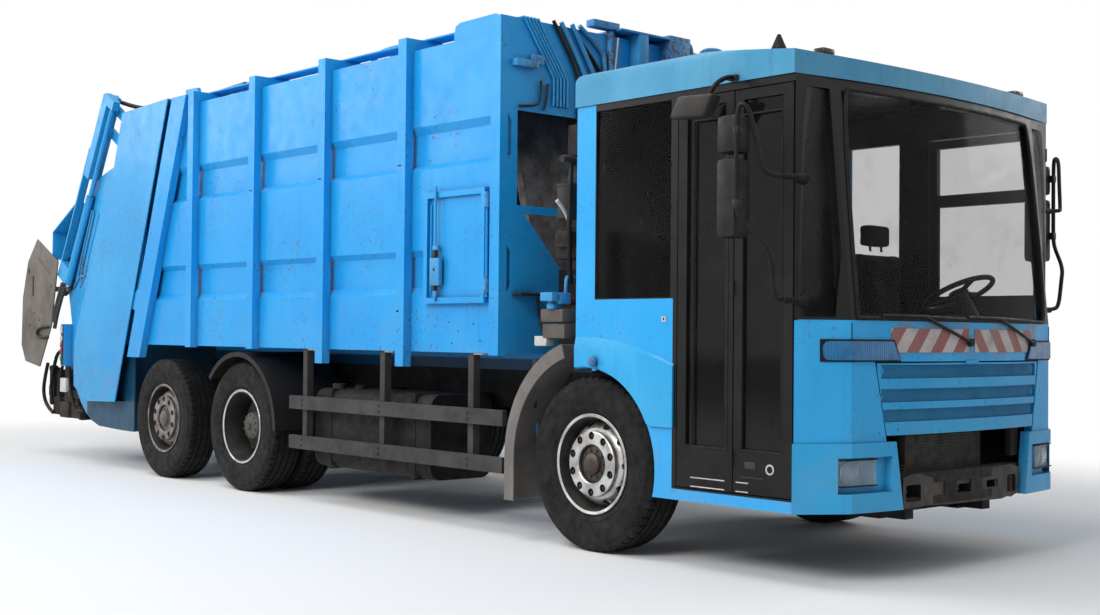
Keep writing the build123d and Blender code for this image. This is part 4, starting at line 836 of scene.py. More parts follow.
def sheet(build, surface, side, ends, low, high, proud, thick, steps):
    """A thin sheet standing proud of a surface; low and high give its edges' heights at a distance y."""
    verts, faces = [], []
    for i in range(steps + 1):
        y = ends[0] + (ends[1] - ends[0]) * i / steps
        for z in (low(y), high(y)):
            for off in (proud, proud - thick):
                verts.append(place(surface(y, z) + off, side * y, z))
    for i in range(steps):
        a, b = i * 4, (i + 1) * 4
        faces += [(a, b, b + 2, a + 2), (a + 1, a + 3, b + 3, b + 1)]
        faces += [(a + 2, b + 2, b + 3, a + 3), (a, a + 1, b + 1, b)]
    last = steps * 4
    faces += [(0, 2, 3, 1), (last, last + 1, last + 3, last + 2)]
    build.add(verts, faces)


def bowed_panel(build, y0, y1, z0, z1, proud, thick, steps=24):
    """A level sheet along the bowed nose."""
    sheet(build, nose_x, 1, (y0, y1), lambda y: z0, lambda y: z1, proud, thick, steps)


def hazard_panels():
    for name, y0, y1 in (("hazard_left", 0.03, 0.7), ("hazard_right", -0.7, -0.03)):
        build = Builder()
        bowed_panel(build, y0, y1, 1.208, 1.335, 0.003, 0.002)
        build.piece(name, "chassis", "hazard", "trim_black")


MESH_BANDS = ((1.070, 1.142), (0.946, 1.016), (0.842, 0.908))
MESH_PITCH = 0.014
MESH_WIRE = 0.0016
MESH_REACH_Y = 0.76
MESH_LIMIT_Y = 0.768
MESH_LEAN = 0.9
MESH_BACK = 0.012


def grille_mesh():
    """Crossing slanted wires across the flap's three openings."""
    build = Builder()
    for z0, z1 in MESH_BANDS:
        height = z1 - z0
        count = int(2 * MESH_REACH_Y / MESH_PITCH)
        for i in range(-2, count + 1):
            ya = -MESH_REACH_Y + i * MESH_PITCH
            for lean in (1, -1):
                yb = ya + lean * height * MESH_LEAN
                if max(abs(ya), abs(yb)) > MESH_LIMIT_Y:
                    continue
                foot = (nose_x(ya, z0) - MESH_BACK, ya, z0)
                build.rod(foot, (nose_x(yb, z1) - MESH_BACK, yb, z1), MESH_WIRE, 4)
    build.piece("grille_mesh", "front_flap", "mesh", "cab_paint")
    back = Builder()
    for z0, z1 in MESH_BANDS:
        bowed_panel(back, -0.765, 0.765, z0, z1, -0.022, 0.003)
    back.piece("grille_backing", "front_flap", "trim", "trim_black")


HEAD_LAMP_Z = 0.585
# radius, distance ahead of the rim
BOWL = ((0.012, -0.03), (0.03, -0.022), (0.046, -0.004), (0.05, 0.0), (0.052, -0.002), (0.032, -0.026),
    (0.012, -0.034))


def head_lamps():
    """Reflector bowls, bulbs and rims behind the ribbed lenses."""
    for side_name, side in SIDES:
        bowls = Builder()
        rims = Builder()
        for y in (0.86, 0.975):
            x = nose_x(side * y, HEAD_LAMP_Z) - 0.036
            bowls.lathe(BOWL, (x, side * y, HEAD_LAMP_Z), 28, "x")
            bowls.rod((x - 0.03, side * y, HEAD_LAMP_Z), (x - 0.008, side * y, HEAD_LAMP_Z), 0.01, 12)
        bowls.piece(f"head_lamp_bowls_{side_name}", "chassis", "chrome", "lamp_lens")
        y0, y1 = sorted((side * 0.79, side * 1.045))
        for z in (0.514, 0.65):
            bowed_panel(rims, y0, y1, z, z + 0.006, -0.002, 0.02, 8)
        rims.piece(f"head_lamp_rims_{side_name}", "chassis", "trim", "trim_black")


def windscreen_seal():
    """Rubber round the windscreen's opening."""
    points = []
    steps = 16
    for z, way in ((BELT_Z + 0.016, 1), (CAB_HEAD_Z - 0.05, -1)):
        for i in range(steps + 1):
            y = way * (-0.94 + 1.88 * i / steps)
            points.append((nose_x(y, z) + 0.002, y, z))
    points.append(points[0])
    pipe("windscreen_seal", points, 0.011, "chassis", "seal")


hazard_panels()
grille_mesh()
head_lamps()
windscreen_seal()


def face_x(y, z):
    """The cab's front surface, with the slanted corners beside the bowed middle."""
    if abs(y) <= CORNER_Y:
        return nose_x(y, z)
    share = (abs(y) - CORNER_Y) / (CAB_SIDE_Y - CORNER_Y)
    return nose_x(CORNER_Y, z) + share * (SIDE_FRONT_X - CORNER_X)


TURN_LOW_Z = 1.168
TURN_HIGH_Z = 1.266
TURN_INNER_Y = 0.645
TURN_OUTER_Y = 1.12
TURN_SLANT = 0.05


TURN_ROUND = 0.025


def turn_lamp_rounding(y):
    """How far the lamp's outer corners fall back from its edges."""
    left = min(1.0, max(0.0, (TURN_OUTER_Y - y) / TURN_ROUND))
    return TURN_ROUND * (1 - math.sqrt(1 - (1 - left) ** 2))


def turn_lamp_low(y):
    return TURN_LOW_Z + turn_lamp_rounding(y)


def turn_lamp_high(y):
    slope = min(1.0, (y - TURN_INNER_Y) / TURN_SLANT)
    rounded = TURN_HIGH_Z - turn_lamp_rounding(y)
    return TURN_LOW_Z + 0.004 + (rounded - TURN_LOW_Z - 0.004) * slope


def front_lamps():
    """Head lamp glasses, blue turn lamps in their rubber, and the markers on the roof's edge."""
    glasses = Builder()
    markers = Builder()
    for side_name, side in SIDES:
        sheet(glasses, face_x, side, (0.795, 1.04), lambda y: 0.521, lambda y: 0.648, -0.008, 0.004, 10)
        lamp = Builder()
        sheet(lamp, face_x, side, (TURN_INNER_Y, TURN_OUTER_Y), turn_lamp_low, turn_lamp_high, 0.014,
            0.016, 40)
        lamp.piece(f"turn_lamp_{side_name}", "chassis", "lens_blue", "lamp_lens")
        rubber = Builder()
        sheet(rubber, face_x, side, (TURN_INNER_Y - 0.014, TURN_OUTER_Y + 0.009),
            lambda y: TURN_LOW_Z - 0.009, lambda y: min(TURN_HIGH_Z + 0.009,
            TURN_LOW_Z + (y - TURN_INNER_Y + 0.014) * 2.3), 0.007, 0.01, 40)
        rubber.piece(f"turn_lamp_rubber_{side_name}", "chassis", "seal", "trim_black")
        x = face_x(0.95, CAB_HEAD_Z) - 0.07
        y0, y1 = sorted((side * 0.9, side * 1.0))
        markers.block((x - 0.05, y0, 2.775), (x + 0.02, y1, 2.81), 0.012)
        seam = [(face_x(CORNER_Y, z) + 0.001, side * CORNER_Y, z) for z in (1.275, 1.36)]
        pipe(f"nose_seam_{side_name}", seam, 0.0025, "chassis", "seal")
    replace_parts(glasses.piece("head_lamp_glasses", "chassis", "lens_clear", "lamp_lens"), "front_lamps")
    markers.piece("roof_markers", "chassis", "lens_dark", "lamp_lens")


def front_metal():
    """The beam under the radiator, its brackets and the radiator's fins."""
    beam, holes = Builder(), Builder()
    top = [(-0.575, 0.541), (-0.49, 0.556), (-0.403, 0.553), (-0.25, 0.512), (-0.064, 0.5), (0.1, 0.512),
        (0.242, 0.538), (0.4, 0.556), (0.51, 0.558), (0.575, 0.54)]
    bottom = [(0.575, 0.392), (0.5, 0.37), (0.46, 0.376), (0.4, 0.366), (0.244, 0.368), (-0.1, 0.372),
        (-0.354, 0.382), (-0.46, 0.376), (-0.575, 0.377)]
    beam.prism(top + bottom, 1.742, 1.752, "x")
    for y0, y1, z0, z1 in ((-0.55, -0.41, 0.41, 0.5), (-0.06, 0.13, 0.425, 0.478),
            (0.24, 0.36, 0.44, 0.482), (0.46, 0.55, 0.4, 0.5)):
        holes.block((1.7, y0, z0), (1.8, y1, z1), 0.015)
    beam.cut_by(holes, "front_beam_plate", "chassis", "bumper_steel", "chassis_paint")
    fittings = Builder()
    for y0, y1 in ((-0.485, -0.4), (0.585, 0.665)):
        fittings.block((1.66, y0, 0.6), (1.7, y1, 0.772), 0.006)
    fittings.rod((1.735, 0.505, 0.4), (1.735, 0.505, 0.5), 0.02, 16)
    fittings.piece("front_brackets", "chassis", "cast", "chassis_paint")
    fins = Builder()
    radiator_low, radiator_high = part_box("radiator")
    x = radiator_high[0] - FRONT_AXLE_X
    y0, y1 = radiator_low[1] + 0.02, radiator_high[1] - 0.02
    z = radiator_low[2] + 0.02
    while z < radiator_high[2] - 0.02:
        fins.block((x - 0.002, y0, z), (x + 0.006, y1, z + 0.006))
        z += 0.017
    fins.piece("radiator_fins", "chassis", "radiator", "radiator_alu")


FLARE_REAR_X = -0.088
FLARE_LENGTH = 0.8
FLARE_FOOT_Z = 0.775
ARCH_R = 0.578
# x from the front axle, height of the flare's upper edge
SWAGE = ((-0.088, 1.272), (0.1, 1.27), (0.286, 1.249), (0.45, 1.215), (0.6, 1.17), (0.713, 1.128))


def arch_flare():
    """The raised panel over the front wheel, its upper edge sloping into the door."""
    for side_name, side in SIDES:
        build = Builder()
        verts, faces = [], []
        steps = 24
        for i in range(steps + 1):
            x = FLARE_REAR_X + FLARE_LENGTH * i / steps
            for (xa, za), (xb, zb) in zip(SWAGE, SWAGE[1:]):
                if xa <= x <= xb + 0.001:
                    top = za + (zb - za) * (x - xa) / (xb - xa)
            foot = FLARE_FOOT_Z
            if abs(x) < TYRE_R:
                foot = max(foot, TYRE_R + math.sqrt(ARCH_R ** 2 - x ** 2))
            fall = 0.045 * (1 - i / steps) + 0.012
            for z, out in ((top, 0.0005), (top - fall, 0.014), (foot, 0.014), (foot, 0.0005)):
                verts.append(place(x, side * (CAB_SIDE_Y + out), z))
        for i in range(steps):
            a, b = i * 4, (i + 1) * 4
            faces += [(a + k, b + k, b + k + 1, a + k + 1) for k in range(3)]
        faces += [(0, 1, 2, 3), (steps * 4, steps * 4 + 1, steps * 4 + 2, steps * 4 + 3)]
        build.add(verts, faces)
        build.piece(f"arch_flare_{side_name}", "chassis", "cab_plain", "cab_paint", 25.0)
    ball = Builder()
    profile = [(0.029 * math.sin(math.pi * i / 12),
        0.03 - 0.029 * math.cos(math.pi * i / 12)) for i in range(13)]
    ball.lathe(profile, (0.092, -CAB_SIDE_Y - 0.008, 1.131), 28, "y", -1)
    ball.rod((0.092, -CAB_SIDE_Y - 0.022, 1.108), (0.092, -CAB_SIDE_Y - 0.01, 1.082), 0.014, 14, 0.02)
    ball.piece("arch_ball", "chassis", "fittings", "cab_paint")


def mirror(side_name, side, base_x, base_y, body):
    """Tube arm bent in front of a main and a wide-angle mirror."""
    y_low, y_high = sorted((side * 1.43, side * 1.562))
    heads = Builder()
    heads.block((1.29, y_low, 1.785), (1.415, y_high, 2.19), 0.028)
    heads.block((1.29, y_low, 2.215), (1.415, y_high, 2.41), 0.03)
    clamp_low, clamp_high = sorted((side * 1.53, side * 1.571))
    for z in (1.93, 2.3):
        heads.block((1.408, clamp_low, z), (1.444, clamp_high, z + 0.045), 0.006)
    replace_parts(heads.piece(f"mirror_heads_{side_name}", body, "mirror_shell", "trim_black", 40.0),
        f"mirrors_{side_name}")
    glass_panes = Builder()
    for z0, z1 in ((1.815, 2.16), (2.245, 2.38)):
        glass_panes.block((1.2885, y_low + 0.016, z0), (1.292, y_high - 0.016, z1), 0.001)
    glass_panes.piece(f"mirror_glass_{side_name}", body, "chrome", "trim_black")
    points = [(base_x, side * base_y, 2.1), (base_x - 0.01, side * (base_y + 0.12), 2.1),
        (1.55, side * 1.42, 2.1), (1.525, side * 1.47, 2.12), (1.5, side * 1.5, 2.3),
        (1.48, side * 1.53, 2.44), (1.44, side * 1.55, 2.46), (1.428, side * 1.56, 2.4),
        (1.428, side * 1.56, 2.1), (1.428, side * 1.56, 1.93), (1.45, side * 1.54, 1.87),
        (1.55, side * 1.46, 1.74), (1.555, side * 1.43, 1.65), (1.55, side * 1.41, 1.5),
        (1.545, side * 1.36, 1.47), (base_x, side * base_y, 1.47)]
    pipe(f"mirror_arm_{side_name}", points, 0.0125, body, "trim")
    boots = Builder()
    for z in (2.1, 1.47):
        boots.rod((base_x + 0.004, side * (base_y - 0.002), z),
            (base_x - 0.004, side * (base_y + 0.06), z), 0.034, 16, 0.02)
        for i in range(4):
            y = side * (base_y + 0.07 + 0.025 * i)
            boots.rod((base_x - 0.006, y, z), (base_x - 0.007, y + side * 0.012, z), 0.018, 14)
    boots.piece(f"mirror_boots_{side_name}", body, "seal", "trim_black")


def kerb_mirror():
    shell = Builder()
    shell.prism([(0.85, 2.452), (0.915, 2.568), (1.165, 2.556), (1.1, 2.442)], -1.455, -1.365, "y", 0.018)
    shell.block((1.12, -1.285, 2.645), (1.18, -1.2553, 2.675), 0.006)
    shell.piece("kerb_mirror", "chassis", "kerb_shell", "trim_black", 40.0)
    points = [(1.1, -1.41, 2.54), (1.13, -1.41, 2.6), (1.16, -1.36, 2.645), (1.17, -1.3, 2.66),
        (1.15, -1.262, 2.66)]
    pipe("kerb_mirror_arm", points, 0.013, "chassis", "trim")


# Heights of the white strips that paint highlight lines along the door bottoms
HIGHLIGHT_LINES_Z = (0.462, 0.51)
DOOR_GLASS_LOW_Z = 0.68
DOOR_GLASS_HIGH_Z = 2.46


def entry_doors():
    """Lock, handle, white strips painted as highlight lines, and rubber edges of the folding door, and the
    grab bar behind its glass.
    """
    lock = Builder()
    lock.lathe([(0.019, 0.0), (0.019, 0.004), (0.028, 0.004), (0.028, 0.0)], (1.397, -1.2425, 0.595), 28,
        "y", -1)
    # Painted highlight: white strips along the front leaf's bottom.
    for z in HIGHLIGHT_LINES_Z:
        lock.block((1.165, -1.2445, z), (1.25, -1.241, z + 0.006))
    lock.piece("entry_lock", "door_front", "white", "trim_black")
    # Painted highlight: white strips along the rear leaf's bottom.
    blocks("entry_highlight_lines", "door_rear", "white", "trim_black", 0.0, [((0.84, -1.2445, z),
        (1.085, -1.241, z + 0.006)) for z in HIGHLIGHT_LINES_Z])
    handle = Builder()
    handle.block((1.225, -1.2455, 0.588), (1.3, -1.241, 0.626), 0.004)
    handle.block((1.2, -1.2445, 0.54), (1.35, -1.241, 0.546))
    handle.piece("entry_handle", "door_front", "guards", "trim_black")
    for name, body, x0, x1 in (("rear", "door_rear", 0.85, 1.1), ("front", "door_front", 1.2, 1.467)):
        corners = [(x, -1.2405, z) for x, z in ((x0, DOOR_GLASS_LOW_Z), (x1, DOOR_GLASS_LOW_Z),
            (x1, DOOR_GLASS_HIGH_Z), (x0, DOOR_GLASS_HIGH_Z))]
        seal = Builder()
        for a, b in zip(corners, corners[1:] + corners[:1]):
            seal.rod(a, b, 0.006, 8)
        seal.piece(f"door_glass_rubber_{name}", body, "seal", "trim_black")
    grab = [(1.06, -1.2, 1.8), (1.055, -1.18, 1.777), (0.98, -1.175, 1.615), (0.906, -1.18, 1.454),
        (0.9, -1.2, 1.43)]
    pipe("entry_grab_bar", grab, 0.012, "door_rear", "guards")
    blocks("side_lock_plate", "chassis", "white", "cab_paint", 0.002, [((0.618, -1.2485, 1.362),
        (0.65, -1.2445, 1.394))])
    blocks("side_lock_slot", "chassis", "seal", "cab_paint", 0.001, [((0.63, -1.2505, 1.37),
        (0.639, -1.248, 1.386))])


front_lamps()
front_metal()
arch_flare()
mirror("right", -1, 1.567, 1.19, "chassis")
mirror("left", 1, 1.5, 1.243, "driver_door")
kerb_mirror()
entry_doors()


# Pipes, hoses, bars and boxes, each in the frame of the body that carries it

WALL_X = -0.775
PIPES = (
    # body and slot, then the name, material, radius and points of each
    ("chassis", "body_paint", (
        ("wall_hose", "hose", 0.013, ((WALL_X, -0.834, 3.335), (WALL_X, -0.751, 3.222),
            (WALL_X, -0.62, 3.03), (WALL_X, -0.597, 2.9), (WALL_X, -0.601, 2.796),
            (WALL_X, -0.606, 2.62))),
        ("wall_tube_1", "fittings", 0.016, ((WALL_X, -0.766, 3.335), (WALL_X, -0.541, 3.007),
            (WALL_X, -0.5, 2.9), (WALL_X, -0.5, 2.75))),
        ("wall_tube_2", "fittings", 0.016, ((WALL_X, -0.67, 3.335), (WALL_X, -0.457, 3.028),
            (WALL_X, -0.43, 2.92), (WALL_X, -0.43, 2.75))),
        ("wall_hose_short", "hose", 0.013, ((WALL_X, -0.573, 3.217), (WALL_X, -0.414, 3.074),
            (WALL_X, -0.39, 3.0), (WALL_X, -0.39, 2.8))),
        ("wall_tube_3", "fittings", 0.016, ((WALL_X, -0.602, 3.335), (WALL_X, -0.4, 3.21),
            (WALL_X, -0.366, 3.14), (WALL_X, -0.365, 2.95), (WALL_X, -0.365, 2.78))),
        ("wall_post", "fittings", 0.03, ((WALL_X - 0.01, -0.31, 3.34), (WALL_X - 0.01, -0.3, 2.9))),
        ("wall_post_line", "white", 0.006, ((WALL_X + 0.03, -0.27, 3.3),
            (WALL_X + 0.03, -0.285, 3.15), (WALL_X + 0.03, -0.3, 3.05))),
        ("wall_rod_a", "cast", 0.008, ((WALL_X, -0.935, 2.928), (WALL_X, -0.94, 2.797),
            (WALL_X, -0.974, 2.758), (WALL_X, -1.122, 2.746))),
        ("wall_rod_b", "cast", 0.008, ((WALL_X, -0.878, 2.914), (WALL_X, -0.893, 2.772),
            (WALL_X, -0.913, 2.74))),
        ("wall_hook_rod", "cast", 0.007, ((WALL_X, -0.95, 1.535), (WALL_X, -0.939, 1.378),
            (WALL_X, -0.877, 1.268))),
        ("hoop_near", "fittings", 0.014, ((-0.79, 0.347, 3.3), (-0.79, 0.35, 3.365),
            (-0.79, 0.482, 3.378), (-0.79, 0.514, 3.33), (-0.79, 0.514, 3.25))),
        ("hoop_far", "fittings", 0.014, ((-0.79, 0.588, 3.28), (-0.79, 0.6, 3.345),
            (-0.79, 0.81, 3.378), (-0.79, 0.882, 3.33), (-0.79, 0.882, 3.25))),
        ("valve_pipe", "fittings", 0.011, ((-0.3, -1.138, 1.5), (-0.3, -1.138, 1.62),
            (-0.3, -1.12, 1.645), (-0.3, -1.062, 1.643))))),
    ("chassis", "trim_black", (
        ("machine_hose", "white", 0.013, ((-0.3, -1.217, 2.102), (-0.3, -1.15, 2.05),
            (-0.3, -1.097, 1.946), (-0.31, -1.08, 1.86))),
        ("machine_hose_dark", "hose", 0.016, ((-0.3, -1.1, 2.35), (-0.25, -1.16, 2.1),
            (-0.26, -1.15, 1.8), (-0.3, -1.1, 1.6))),
        ("machine_horn", "guards", 0.022, ((-0.3, -1.18, 2.36), (-0.3, -1.136, 2.372),
            (-0.3, -1.05, 2.35), (-0.3, -1.015, 2.306), (-0.3, -1.0, 2.2))))),
    ("chassis", "chassis_paint", (
        ("arch_pipe", "guards", 0.028, ((-0.72, -1.0, 1.13), (-0.72, -1.0, 1.0), (-0.72, -1.0, 0.9))),
        ("arch_pipe_low", "fittings", 0.02, ((-0.72, -1.0, 0.92), (-0.72, -1.0, 0.8),
            (-0.72, -0.99, 0.66), (-0.72, -0.95, 0.56))),
        ("arch_pipe_tail", "guards", 0.009, ((-0.69, -1.03, 1.07), (-0.65, -1.05, 1.02),
            (-0.64, -1.06, 0.95), (-0.66, -1.06, 0.82))))),
    ("chassis", "body_paint", (
        ("roof_line_1", "fittings", 0.022, ((-2.0, -0.95, 3.3), (-2.2, -0.95, 3.36),
            (-2.5, -0.95, 3.37), (-2.75, -0.9, 3.35), (-2.8, -0.85, 3.28))),
        ("roof_line_2", "fittings", 0.018, ((-1.85, -0.9, 3.28), (-2.1, -0.9, 3.35),
            (-2.55, -0.86, 3.35), (-2.9, -0.8, 3.27))),
        ("roof_cylinder", "fittings", 0.032, ((-4.45, -1.0, 3.345), (-4.95, -1.0, 3.325))),
        ("roof_cylinder_rod", "hose", 0.018, ((-4.3, -1.0, 3.352), (-4.45, -1.0, 3.345))),
        ("roof_cylinder_2", "fittings", 0.024, ((-4.4, -0.9, 3.33), (-4.95, -0.9, 3.31))))),
    ("tailgate", "trim_black", (
        ("gate_hose_black", "hose", 0.016, ((-7.591, -1.15, 1.99), (-7.666, -1.15, 1.844),
            (-7.742, -1.15, 1.712), (-7.706, -1.15, 1.62), (-7.56, -1.16, 1.66), (-7.42, -1.16, 1.78))),
        ("gate_hose_black_2", "hose", 0.014, ((-7.55, -1.16, 2.0), (-7.63, -1.165, 1.83),
            (-7.68, -1.165, 1.7), (-7.6, -1.165, 1.62), (-7.4, -1.165, 1.74))))),
    ("tailgate", "body_paint", (
        ("gate_tube_1", "fittings", 0.012, ((-7.03, -1.17, 2.44), (-7.09, -1.17, 2.32),
            (-7.2, -1.17, 2.1), (-7.31, -1.17, 1.88), (-7.34, -1.17, 1.76))),
        ("gate_tube_2", "fittings", 0.012, ((-6.99, -1.17, 2.42), (-7.05, -1.17, 2.29),
            (-7.16, -1.17, 2.07), (-7.26, -1.17, 1.87), (-7.27, -1.17, 1.74))),
        ("gate_tube_3", "fittings", 0.014, ((-6.9, -1.16, 2.4), (-7.06, -1.16, 2.1),
            (-7.13, -1.16, 1.96), (-7.2, -1.16, 1.78), (-7.3, -1.16, 1.7))),
        ("gate_tube_4", "fittings", 0.01, ((-7.18, -1.17, 1.8), (-7.25, -1.17, 1.82),
            (-7.36, -1.17, 1.78), (-7.42, -1.17, 1.7))))),
    ("packer_carriage", "trim_black", (
        ("beam_hose_1", "hose", 0.02, ((-6.62, -1.08, 3.44), (-6.35, -1.05, 3.36),
            (-6.05, -1.02, 3.33), (-5.8, -1.0, 3.36))),)),
    ("tailgate", "trim_black", (
        ("lifter_hose_4", "hose", 0.018, ((-8.2, -1.1, 0.94), (-8.27, -1.1, 0.8), (-8.31, -1.1, 0.64),
            (-8.24, -1.09, 0.5), (-8.1, -1.08, 0.44))),
        ("lifter_hose_5", "hose", 0.015, ((-7.68, -1.1, 0.9), (-7.62, -1.11, 0.7),
            (-7.56, -1.11, 0.55), (-7.44, -1.1, 0.46), (-7.36, -1.08, 0.5))),
        ("gate_hose_grey", "guards", 0.021, ((-7.48, -1.262, 1.74), (-7.56, -1.268, 1.6),
            (-7.64, -1.268, 1.46), (-7.68, -1.262, 1.36))),
        ("gate_hose_grey_2", "guards", 0.019, ((-7.44, -1.262, 1.7), (-7.52, -1.268, 1.55),
            (-7.6, -1.268, 1.42), (-7.66, -1.262, 1.3))),
        ("lifter_hose_1", "hose", 0.018, ((-7.75, -1.09, 1.1), (-7.95, -1.1, 1.08),
            (-8.05, -1.1, 0.9), (-8.13, -1.1, 0.7), (-8.1, -1.09, 0.52))),
        ("lifter_hose_2", "hose", 0.016, ((-7.7, -1.06, 1.05), (-7.88, -1.07, 1.0),
            (-7.95, -1.07, 0.8), (-8.0, -1.07, 0.6), (-7.9, -1.06, 0.47))),
        ("lifter_hose_3", "hose", 0.016, ((-7.6, -1.04, 0.98), (-7.72, -1.05, 0.8),
            (-7.78, -1.05, 0.62), (-7.7, -1.04, 0.46))))),
)
BLOCKS = (
    # body and slot, then the name, material, edge and corners of each
    ("chassis", "body_paint", (
        ("valve_block", "fittings", 0.008, (((-0.36, -1.295, 1.487), (-0.25, -1.24, 1.541)),
            ((-0.36, -1.23, 1.47), (-0.25, -1.137, 1.54)),
            ((-0.34, -1.26, 1.44), (-0.28, -1.18, 1.475)))),)),
    ("driver_door", "trim_black", (
        ("driver_window_post", "trim", 0.003, (((0.785, 1.19, 1.58), (0.812, 1.212, 2.16)),)),)),
    ("chassis", "body_paint", (
        ("valve_knob", "red", 0.012, (((-0.34, -1.11, 1.465), (-0.29, -1.05, 1.51)),)),)),
    ("chassis", "chassis_paint", (
        ("brown_boxes", "brown", 0.008, (((-0.42, -1.237, 1.362), (-0.22, -1.066, 1.44)),
            ((-0.42, -1.22, 1.262), (-0.22, -1.05, 1.352)))),
        ("small_box", "white", 0.006, (((-0.5, -1.215, 1.214), (-0.388, -1.15, 1.275)),)),
        ("machine_dark", "cast", 0.02, (((-0.45, -1.1, 1.75), (-0.2, -0.75, 1.95)),
            ((-0.4, -1.15, 1.82), (-0.25, -1.05, 1.92)), ((-0.45, -1.0, 2.4), (-0.25, -0.4, 2.6)))))),
    ("chassis", "body_paint", (
        ("wall_bracket", "fittings", 0.005, (((-0.79, -1.17, 3.0), (-0.74, -0.98, 3.045)),
            ((-0.79, -1.02, 3.03), (-0.76, -0.92, 3.09)))),
        ("wall_hook", "cast", 0.005, (((-0.79, -1.153, 1.53), (-0.7, -0.95, 1.548)),)),
        ("wall_box", "fittings", 0.004, (((-0.96, -0.28, 2.98), (-0.93, 0.55, 3.36)),
            ((-0.96, -0.28, 3.345), (-0.7, 0.2, 3.36)), ((-0.96, -0.11, 2.98), (-0.7, -0.02, 3.345)),
            ((-0.96, 0.19, 2.98), (-0.7, 0.4, 3.38)))),
        ("wall_arm", "fittings", 0.006, (((-0.83, -0.49, 3.35), (-0.75, -0.25, 3.4)),)))),
    ("side_hatch", "body_paint", (
        ("hatch_latch", "fittings", 0.006, (((-1.522, -1.262, 1.604), (-1.42, -1.228, 1.789)),
            ((-1.5, -1.258, 1.84), (-1.448, -1.23, 1.872)),
            ((-1.49, -1.258, 1.53), (-1.458, -1.23, 1.57)))),
        ("hatch_latch_dark", "cast", 0.002, (((-1.482, -1.264, 1.7), (-1.464, -1.26, 1.722)),
            ((-1.486, -1.262, 1.79), (-1.462, -1.236, 1.84)),
            ((-1.486, -1.262, 1.57), (-1.462, -1.236, 1.604)))))),
    ("chassis", "body_paint", (
        ("body_pads", "white", 0.003, (((-3.13, -1.19, 1.148), (-3.02, -1.15, 1.162)),
            ((-2.13, -1.19, 1.148), (-2.03, -1.15, 1.162)),
            ((-1.13, -1.19, 1.148), (-1.03, -1.15, 1.162)))),
        ("body_marks", "seal", 0.0, (((-1.89, -1.2665, 2.435), (-1.85, -1.262, 2.443)),
            ((-2.9, -1.2665, 2.417), (-2.86, -1.262, 2.425)),
            ((-1.89, -1.2665, 1.43), (-1.865, -1.262, 1.442)),
            ((-3.9, -1.2665, 2.4), (-3.86, -1.262, 2.408)))))),
    ("tailgate", "lamp_lens", (
        ("tail_lamp_base", "guards", 0.004, (((-7.527, -1.256, 0.94), (-7.473, -1.248, 1.335)),)),
        ("tail_lamp_red", "lens_red", 0.004, (((-7.522, -1.266, 1.05), (-7.478, -1.255, 1.1)),
            ((-7.522, -1.266, 1.11), (-7.478, -1.255, 1.16)))),
        ("tail_lamp_white", "white", 0.004, (((-7.522, -1.266, 1.175), (-7.478, -1.255, 1.225)),
            ((-7.522, -1.266, 1.25), (-7.478, -1.255, 1.325)))),
        ("tail_lamp_green", "lens_green", 0.004, (((-7.522, -1.266, 0.98), (-7.478, -1.255, 1.03)),)))),
    ("tailgate", "trim_black", (
        ("lifter_block", "white", 0.006, (((-7.86, -1.115, 0.66), (-7.72, -1.07, 0.8)),)),)),
    ("tailgate", "chassis_paint", (
        ("lifter_metal", "cast", 0.02, (((-8.16, -1.06, 0.42), (-7.95, -0.95, 0.6)),
            ((-7.95, -1.08, 0.4), (-7.72, -0.96, 0.56)), ((-7.86, -1.07, 0.56), (-7.7, -0.97, 0.98)),
            ((-8.1, -1.05, 0.6), (-7.98, -0.96, 0.88)), ((-8.26, -1.06, 0.52), (-8.14, -0.98, 0.9)),
            ((-8.3, -1.05, 0.6), (-8.24, -1.0, 0.72)), ((-8.2, -1.09, 0.86), (-8.06, -1.04, 0.92)),
            ((-7.72, -1.06, 0.4), (-7.5, -0.98, 0.52)), ((-7.66, -1.05, 0.52), (-7.58, -0.99, 0.86)),
            ((-7.75, -1.09, 0.6), (-6.95, -1.03, 0.68)), ((-7.76, -1.08, 0.93), (-7.36, -1.02, 0.99)))),)),
    ("tailgate", "trim_black", (
        ("shield_slots", "seal", 0.0, (((-8.245, -1.2555, 1.63), (-8.215, -1.25, 1.83)),
            ((-8.35, -1.2555, 1.86), (-8.325, -1.25, 1.9)))),)),
)
RODS = (
    # body and slot, then the name, material and bars, as end, end and radius
    ("side_hatch", "body_paint", (
        ("hatch_rods", "fittings", (((-1.474, -1.25, 2.267), (-1.474, -1.25, 1.85), 0.009),
            ((-1.474, -1.25, 1.6), (-1.474, -1.25, 1.5), 0.009))),
        ("hatch_hinges", "fittings", (((-0.966, -1.222, 2.1), (-0.966, -1.222, 2.2), 0.019),
            ((-0.966, -1.222, 1.55), (-0.966, -1.222, 1.65), 0.019))))),
    ("chassis", "trim_black", (
        ("canister", "guards", (((-0.35, -1.07, 2.0), (-0.35, -1.07, 2.2), 0.075),
            ((-0.35, -1.07, 2.2), (-0.35, -1.07, 2.215), 0.08))),)),
    ("chassis", "chassis_paint", (
        ("tank_cap", "cast", (((-2.95, -1.02, 0.86), (-2.95, -1.02, 0.9), 0.05),)),)),
)
for body, slot, rows in PIPES:
    for name, key, radius, points in rows:
        pipe(name, points, radius, body, key)
for body, slot, rows in BLOCKS:
    for name, key, edge, corners in rows:
        blocks(name, body, key, slot, edge, corners)
for body, slot, rows in RODS:
    for name, key, bars in rows:
        build = Builder()
        for start, end, radius in bars:
            build.rod(start, end, radius, 20)
        build.piece(name, body, key, slot)


